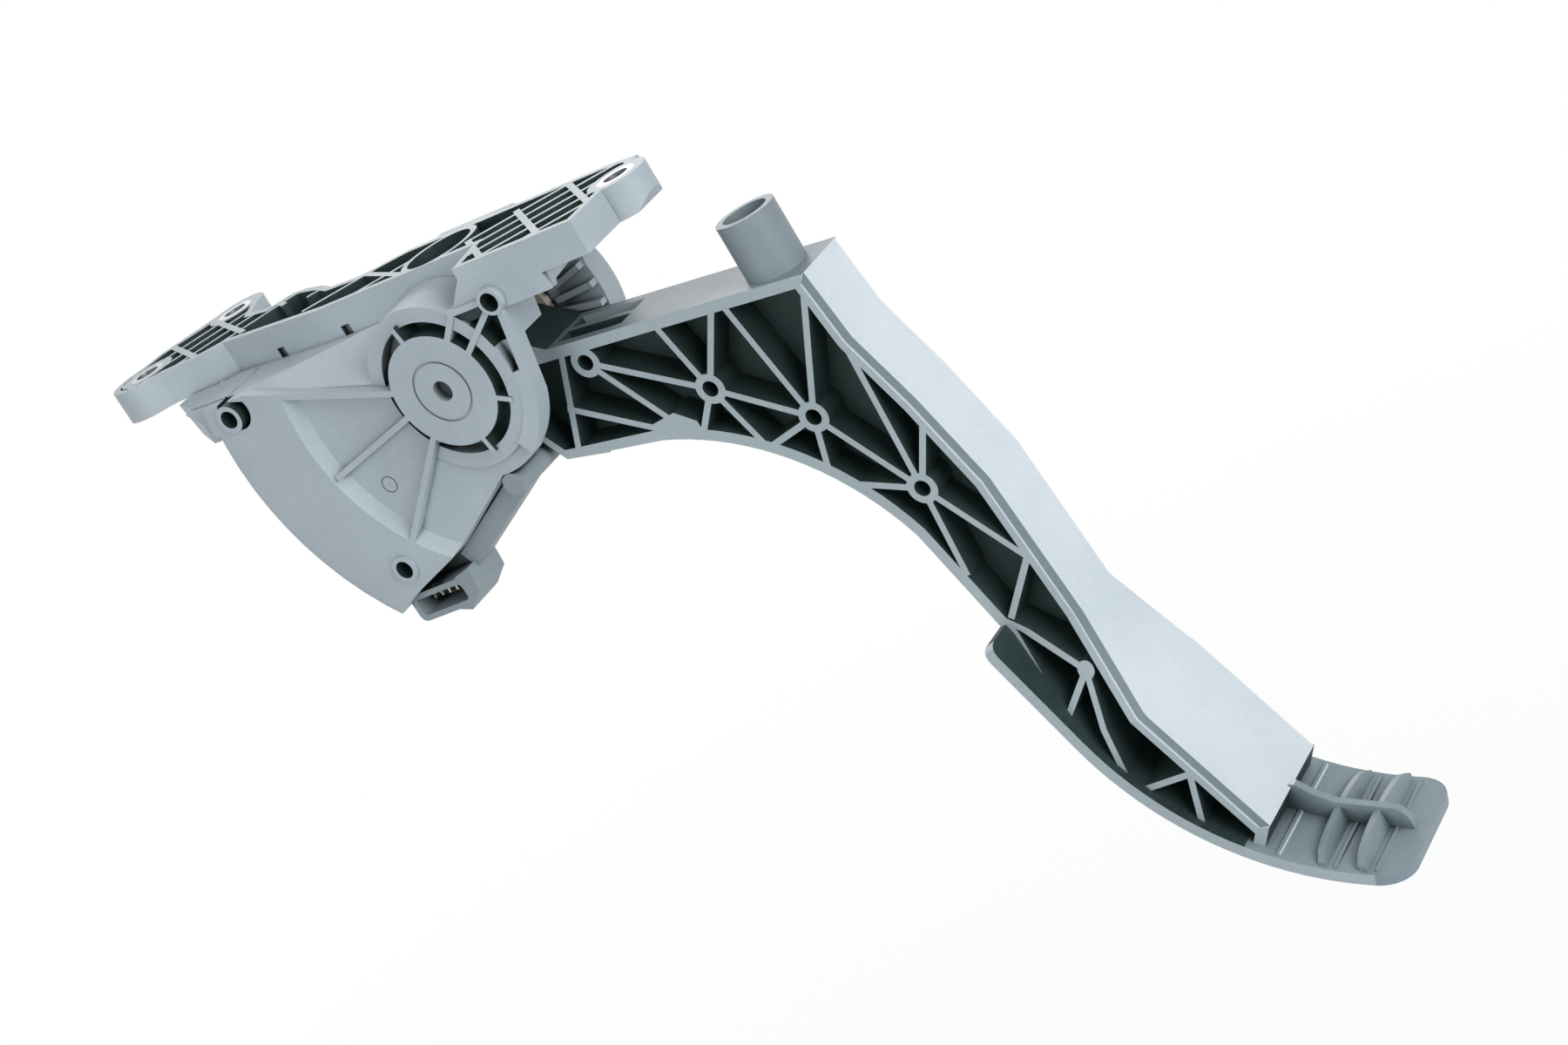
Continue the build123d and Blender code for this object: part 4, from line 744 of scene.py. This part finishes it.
def arm_form():
    """The whole pedal arm: truss, hub, lever, foot pad and hollow stop post."""
    place, top = (PIVOT_X + POST_X, 0), PIVOT_Z + POST_TOP
    post = plan_block(ring_of(POST_RADIUS, place, 56), PIVOT_Z - 10.0, top)
    bore = plan_block(ring_of(POST_RADIUS - POST_WALL, place, 48), top - POST_BORE, top + 1)
    cuts = [bore, disc(4.6, HUB_NEAR - 1, HUB_FAR + 1, sides=40), disc(5.5, HUB_NEAR - 1, HUB_NEAR + 9, sides=40),
            disc(5.5, HUB_FAR - 9, HUB_FAR + 1, sides=40)]
    cuts += [disc(1.1, HUB_FAR - 2.5, HUB_FAR + 1, (0, z), 20) for z in (7.75, -7.75)]
    return shaped(arm_truss(), ("UNION", [hub(), lever(), foot_pad(), post] + pad_ribs()), ("DIFFERENCE", cuts))


# The rear cover and the connector

COVER_OUTSIDE, DRUM_END = 16.0, 20.0
DRUM_RADIUS, DRUM_WALL, ROTOR_RADIUS = 28.9, 2.4, 13.0
STUB = (0.6, -29.9)
STRUT_ANGLES = (-8, 3, 14, 25)
SOCKET_PLACE, SOCKET_TILT, SOCKET_LENGTH, SOCKET_HEIGHT = (-42.8, -53.1), 2.0, 20.0, 8.0
MOUTH_Y, FLOOR_Y, END_Y = -21.0, -11.0, -8.0


def cover_form():
    """Far half of the case, with the sensor drum on its back and struts inside its mouth."""
    flat = -PIVOT_Z - 1.0 - DRUM_WALL
    well = shaped(disc(DRUM_RADIUS - DRUM_WALL, SPLIT_Y + 1.6, DRUM_END + 1),
                  ("DIFFERENCE", [side_block(box_outline(-90, 90, flat, flat + 90), 0, 60)]))
    struts = [side_block(strip(polar(ROTOR_RADIUS + 3, a), polar(DRUM_RADIUS - 0.5, a), 1.6),
                         SPLIT_Y - 2.5, SPLIT_Y + 0.5) for a in STRUT_ANGLES]
    cuts = [disc(4.0, SPLIT_Y - 1, 16.5, sides=40)]
    cuts += [disc(SCREW_CORE + 0.2, SPLIT_Y - 1, COVER_OUTSIDE + 1, place, 32) for place, radius in SCREW_TUBES]
    cuts.append(side_block(box_outline(-200, 200, -PIVOT_Z - 1.0, 150), -60, 60))
    return shaped(side_block(case_outline(), SPLIT_Y, COVER_OUTSIDE),
                  ("UNION", [disc(4.2, SPLIT_Y, COVER_OUTSIDE, STUB, 40), disc(DRUM_RADIUS, SPLIT_Y, DRUM_END)]),
                  ("DIFFERENCE", [well]), ("UNION", [disc(7.5, SPLIT_Y, 17.5)] + struts), ("DIFFERENCE", cuts))


def socket_outline(by):
    """End view of the connector's shroud, drawn in by a distance."""
    half_x, half_z, corner = SOCKET_LENGTH / 2 - by, SOCKET_HEIGHT / 2 - by, 2.0 - by / 2
    points = []
    for sx, sz, start in ((1, 1, 0), (-1, 1, 90), (-1, -1, 180), (1, -1, 270)):
        points += arc((sx * (half_x - corner), sz * (half_z - corner)), corner, start, start + 90, 5)
    tilt = math.radians(SOCKET_TILT)
    return [(SOCKET_PLACE[0] + x * math.cos(tilt) - z * math.sin(tilt),
             SOCKET_PLACE[1] + x * math.sin(tilt) + z * math.cos(tilt)) for x, z in points]


def connector_form():
    """Shroud and its end cap, the duct along the case's lower wall, and the riser to the cover."""
    cap = [(-34.9, -48.4), (-29.2, -47.0), (-29.7, -53.8), (-35.4, -58.2), (-40.0, -56.8)]
    web = [(-50.0, -49.6), (-45.4, -46.6), (-28.2, -40.8), (-28.2, -48.0), (-48.0, -51.0)]
    windows = [side_block(box_outline(x - 0.85, x + 0.85, SOCKET_PLACE[1], SOCKET_PLACE[1] + 8), -19.45, -17.75)
               for x in (-44.4, -39.6)]
    return shaped(side_block(socket_outline(0), MOUTH_Y, END_Y),
                  ("UNION", [side_block(cap, MOUTH_Y, END_Y), side_block(strip((-31.0, -46.6), STUB, 5.6), -17, -10),
                             side_block(web, END_Y - 3, END_Y), disc(3.2, -22, SPLIT_Y, STUB, 40)]),
                  ("DIFFERENCE", [side_block(socket_outline(1.6), MOUTH_Y - 5, FLOOR_Y)] + windows
                   + [side_block(case_outline(), NEAR_FACE - 1, SPLIT_Y)]))


def terminal_form():
    """Row of flat pins in the connector's floor."""
    tilt = math.radians(SOCKET_TILT)
    pitch = (SOCKET_LENGTH - 3.2) / 6
    pins = []
    for i in range(6):
        x = (i - 2.5) * pitch
        cx, cz = SOCKET_PLACE[0] + x * math.cos(tilt), SOCKET_PLACE[1] + x * math.sin(tilt)
        pins.append(side_block(box_outline(cx - 0.4, cx + 0.4, cz - 0.8, cz + 0.8), -15.5, -9.0))
    return joined(*pins)


# Mouldings dressed over their CAD nodes

SHARP_ANGLE = 32


def new_piece(form, piece_name):
    """A form as a piece of the scene, in metres, with its flat faces made whole."""
    form.name = piece_name
    form.transform(Matrix.Scale(MM, 4))
    work = bmesh.new()
    work.from_mesh(form)
    bmesh.ops.remove_doubles(work, verts=work.verts, dist=0.004 * MM)
    bmesh.ops.dissolve_limit(work, angle_limit=math.radians(0.6), verts=work.verts, edges=work.edges)
    bmesh.ops.recalc_face_normals(work, faces=work.faces)
    work.to_mesh(form)
    work.free()
    form.materials.clear()
    return placed(piece_name, form)


def round_edges(piece, radius_mm):
    """Moulded edges: a small round on every sharp edge."""
    bevel = piece.modifiers.new("moulded_edges", "BEVEL")
    bevel.width = radius_mm * MM
    bevel.segments = 2
    bevel.limit_method = "ANGLE"
    bevel.angle_limit = math.radians(SHARP_ANGLE)
    bevel.harden_normals = True
    for polygon in piece.data.polygons:
        polygon.use_smooth = True


def mark_faces(piece, skins, choose):
    """Give each face of a moulding the skin whose number the chooser returns."""
    mesh = piece.data
    for skin in skins:
        mesh.materials.append(skin)
    work = bmesh.new()
    work.from_mesh(mesh)
    tree = BVHTree.FromBMesh(work)
    work.free()

    def reach(polygon, direction, length_mm):
        """Where a ray from just off the face first meets the same moulding, or None."""
        start = polygon.center + polygon.normal * 0.05 * MM
        return tree.ray_cast(start, Vector(direction), length_mm * MM)[0]

    for polygon in mesh.polygons:
        polygon.material_index = choose(polygon, reach)


def dress(form, node_name, piece_name, body, radius_mm):
    """A form set over its CAD node, on the node's body."""
    piece = new_piece(form, piece_name)
    round_edges(piece, radius_mm)
    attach(piece, body)
    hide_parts(node_name)
    return piece


def front_gap(place):
    """How far a point of the arm lies behind its front plate, in mm, or None above and below it."""
    u, v = place.x / MM - PIVOT_X, place.z / MM - PIVOT_Z
    for (x0, z0), (x1, z1) in zip(FRONT_LINE, FRONT_LINE[1:]):
        if z1 <= v <= z0:
            return x0 + (x1 - x0) * (v - z0) / (z1 - z0) - u
    return None


# Places of the skins in a piece's list: the open skin first, then darker copies with painted shade
OPEN, POCKET, PAD_BACK, RIB_EDGE, FRONT_STEP, PAD_HEEL = range(6)
# Lines between skins, all of them edges of painted shade: the case's mouth, the strips beside the arm, and the pad
# past the arm's end
MOUTH_U, STRIP_DARK_U, PAD_OPEN_U, PAD_END_U, PAD_END_V = 16.5, 127.5, 142.5, 135.5, -176.0


def arm_skins(polygon, reach):
    """Which of the arm's skins a face takes: the lit arm skin, or a darker copy with painted shade where less light
    falls.
    """
    normal, centre = polygon.normal, polygon.center
    u, y, v = centre.x / MM - PIVOT_X, abs(centre.y) / MM, centre.z / MM - PIVOT_Z
    across, gap = abs(normal.y), front_gap(centre)
    # Painted shade on the stop post
    if v > -10.0 and math.hypot(u - POST_X, y) < POST_RADIUS + 0.1:
        return FRONT_STEP
    # Painted shade on the arm's root inside the case's mouth
    if u < MOUTH_U or (u < MOUTH_U + 6.0 and v > -8.0 and normal.z > 0.3):
        return POCKET
    # Painted shade on faces behind the front plate, over the pad
    if normal.x > 0.8 and v < -111.0 and u < 120.5 and gap and gap > 6.0:
        return POCKET
    # Painted shade on the pad's back past the arm's end
    if u > PAD_OPEN_U or (u > PAD_END_U and v < PAD_END_V and normal.z > 0.5):
        return PAD_BACK
    # Painted shade on the strips beside the flared arm, darker towards the heel
    if v < FLARE_START and y > FLARE_HALF + 0.1 and across < 0.5 and normal.x > 0:
        return PAD_HEEL if u < STRIP_DARK_U else PAD_BACK
    # Painted shade on the middle web down in the lattice pockets
    if across > 0.9 and y < 2.0:
        return POCKET
    # Painted shade on the side faces of rails and ribs, darker again in the front step
    if across > 0.7:
        return FRONT_STEP if gap is not None and -0.5 < gap < FRONT_STEP_WIDTH / 0.85 else RIB_EDGE
    # Painted shade on pocket walls that face another wall within 34 mm
    if across < 0.3 and reach(polygon, normal, 34):
        return POCKET
    # Painted shade on top faces near the hub; the lit arm skin elsewhere
    return FRONT_STEP if normal.z > 0.9 and v > -13.0 else OPEN


arm = dress(arm_form(), "pedal_arm", "pedal_arm_moulding", "pedal", 0.35)
mark_faces(arm, [arm_skin, pocket_shade, pad_back_shade, rib_edge_shade, front_step_shade, pad_heel_shade], arm_skins)


def housing_skins(polygon, reach):
    """The painted shade in the flange's pockets, the round slot, the neck's hollow, the tubes and the relief."""
    normal, centre = polygon.normal, polygon.center
    u, v, y = centre.x / MM - PIVOT_X, centre.z / MM - PIVOT_Z, centre.y / MM
    aside, deep = math.hypot(u, v), NEAR_FACE + 0.6 < y < SLOT_END + 0.6
    is_floor, is_wall = normal.y < -0.9, abs(normal.y) < 0.3
    in_slot = DISC_RADIUS - 0.2 < aside < SLOT_OUTER - 0.3
    # Painted shade in the round slot
    if deep and in_slot and (is_wall or (is_floor and y > SLOT_END - 0.6)):
        return POCKET
    in_hollow = COLLAR_RADIUS - 0.4 < aside and 14.5 < u < 31 and 5 < v < 19
    # Painted shade in the neck's hollow
    if deep and in_hollow and (is_floor or is_wall):
        return POCKET if is_floor or reach(polygon, normal, 14) else OPEN
    # Painted shade in the screw tubes' holes
    if is_wall and any(math.hypot(u - x, v - z) < SCREW_CORE + 0.2 for (x, z), radius in SCREW_TUBES):
        return POCKET
    in_relief = math.hypot(u - RELIEF_PLACE[0], v - RELIEF_PLACE[1]) < RELIEF_RADIUS
    # Painted shade in the relief round the left tube
    if in_relief and NEAR_FACE < y < RELIEF_END + 0.1:
        return POCKET
    floor_level = (FLANGE_FLOOR - FLANGE_DEPTH) * MM
    # Painted shade on the flange pockets' floors and the walls that stand on them
    if normal.z > 0.9:
        return POCKET if abs(centre.z - floor_level) < 0.2 * MM else OPEN
    if abs(normal.z) > 0.3 or centre.z < floor_level:
        return OPEN
    below = reach(polygon, (0, 0, -1), 9)
    return POCKET if below is not None and abs(below.z - floor_level) < 0.3 * MM else OPEN


housing = dress(housing_form(), "housing", "housing_moulding", "module", 0.35)
mark_faces(housing, [case_skin, pocket_shade], housing_skins)

cover = dress(cover_form(), "rear_cover", "rear_cover_moulding", "module", 0.3)
cover.data.materials.append(case_skin)
socket = dress(connector_form(), "connector", "connector_moulding", "module", 0.3)
socket.data.materials.append(connector_shade)
pins = dress(terminal_form(), "terminals", "terminal_pins", "module", 0.1)
pins.data.materials.append(tinned_brass)

FINISHES = {
    "pivot_axle": axle_shade_steel, "near_pivot_bush": acetal, "far_pivot_bush": acetal,
    "sensor_rotor": acetal, "rotor_magnets": nickel, "outer_return_spring": spring_wire,
    "inner_return_spring": spring_wire, "spring_cup": acetal, "friction_shoe": acetal, "idle_buffer": nitrile,
    "sensor_board": laminate, "sensor_chips": epoxy, "sensor_lid": case_skin, "lid_seal": nitrile,
    "cover_screws": zinc_steel, "mounting_bushes": zinc_steel,
}
for name, finish in FINISHES.items():
    for slot in nodes[name].material_slots:
        slot.material = finish


# The return springs, as copies of their coils on the module's body

for name in ("outer_return_spring", "inner_return_spring"):
    spring = nodes[name]
    coil = placed(name + "_wire", spring.data.copy())
    coil.matrix_world = spring.matrix_world.copy()
    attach(coil, "module")
    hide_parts(name)
    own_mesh(coil)


# Camera, light and floor

CAMERA_PLACE = Vector((588.2, -634.8, 149.5)) * MM
CAMERA_AZIMUTH = 38.98
CAMERA_ELEVATION = 16.81
CAMERA_ROLL = -31.29
CAMERA_LENS = 79.36


def add_camera():
    """The photograph's camera, as fitted to the disc, the pad and the flange."""
    data = bpy.data.cameras.new("photo_camera")
    data.lens = CAMERA_LENS
    data.sensor_width = 36.0
    camera = placed("photo_camera", data)
    turns = ((CAMERA_AZIMUTH, "Z"), (90 - CAMERA_ELEVATION, "X"), (CAMERA_ROLL, "Z"))
    around, tilt, roll = (Matrix.Rotation(math.radians(angle), 4, axis) for angle, axis in turns)
    camera.matrix_world = Matrix.Translation(CAMERA_PLACE) @ around @ tilt @ roll
    bpy.context.scene.camera = camera


def add_area_light(name, place, target, size, power):
    """A round soft lamp that looks at the target."""
    data = bpy.data.lights.new(name, "AREA")
    data.shape = "DISK"
    data.size = size
    data.energy = power
    light = placed(name, data)
    light.location = place
    light.rotation_euler = (Vector(target) - Vector(place)).to_track_quat("-Z", "Y").to_euler()


def plain_sight(tree):
    """1 on rays that the eye follows, straight, off a gloss or through glass, and 0 on those that light the part."""
    ray = add(tree, "ShaderNodeLightPath").outputs
    mirrored = add(tree, "ShaderNodeMath", {0: ray["Is Glossy Ray"], 1: ray["Is Transmission Ray"]},
                   operation="MAXIMUM")
    return add(tree, "ShaderNodeMath", {0: ray["Is Camera Ray"], 1: mirrored.outputs[0]}, operation="MAXIMUM")


def add_floor():
    """Pale floor that keeps the part's shadow and fades to plain white around it."""
    mesh = bpy.data.meshes.new("floor")
    half, level = 3.0, -0.42
    corners = [(-half, -half, level), (half, -half, level), (half, half, level), (-half, half, level)]
    mesh.from_pydata(corners, [], [(0, 1, 2, 3)])
    floor = placed("floor", mesh)
    material, tree = new_material("matt_white_paper_floor")
    place = add(tree, "ShaderNodeTexCoord").outputs["Object"]
    flat = add(tree, "ShaderNodeVectorMath", {0: place, 1: (1.0, 1.0, 0.0)}, operation="MULTIPLY")
    away = add(tree, "ShaderNodeVectorMath", {0: flat.outputs[0]}, operation="LENGTH")
    fade = ramp(tree, away.outputs["Value"], 0.2, 0.8, 0.93, 1.0)
    share = add(tree, "ShaderNodeMath", {0: fade, 1: plain_sight(tree).outputs[0]}, operation="MULTIPLY")
    paper = add(tree, "ShaderNodeBsdfDiffuse", {"Color": linear("#D4D8DC")})
    glow = add(tree, "ShaderNodeEmission", {"Color": linear("#FFFFFF"), "Strength": 1.0})
    mixed = add(tree, "ShaderNodeMixShader", {"Fac": share.outputs[0], 1: paper.outputs[0], 2: glow.outputs[0]})
    add(tree, "ShaderNodeOutputMaterial", {"Surface": mixed.outputs[0]})
    mesh.materials.append(material)


def add_world():
    """Soft light all round, seen as plain white."""
    world = bpy.data.worlds.new("studio")
    bpy.context.scene.world = world
    world.use_nodes = True
    tree = world.node_tree
    tree.nodes.clear()
    soft = add(tree, "ShaderNodeBackground", {"Color": linear("#E4ECF2"), "Strength": 0.3})
    white = add(tree, "ShaderNodeBackground", {"Color": linear("#FFFFFF"), "Strength": 1.0})
    mixed = add(tree, "ShaderNodeMixShader", {"Fac": plain_sight(tree).outputs[0], 1: soft.outputs[0],
                                             2: white.outputs[0]})
    add(tree, "ShaderNodeOutputWorld", {"Surface": mixed.outputs[0]})


add_camera()
add_floor()
add_world()
MIDDLE = (0.05, 0.0, -0.08)
add_area_light("key", (1.3, -0.35, 0.35), MIDDLE, 0.9, 13)
add_area_light("front_fill", (-0.1, -1.3, 0.15), MIDDLE, 1.0, 5.0)
add_area_light("top_fill", (-0.2, -0.3, 1.3), MIDDLE, 0.9, 3.2)
add_area_light("back_fill", (-0.6, 1.2, 0.5), MIDDLE, 1.0, 5)
bpy.context.scene.view_settings.view_transform = "Standard"

bpy.context.view_layer.update()
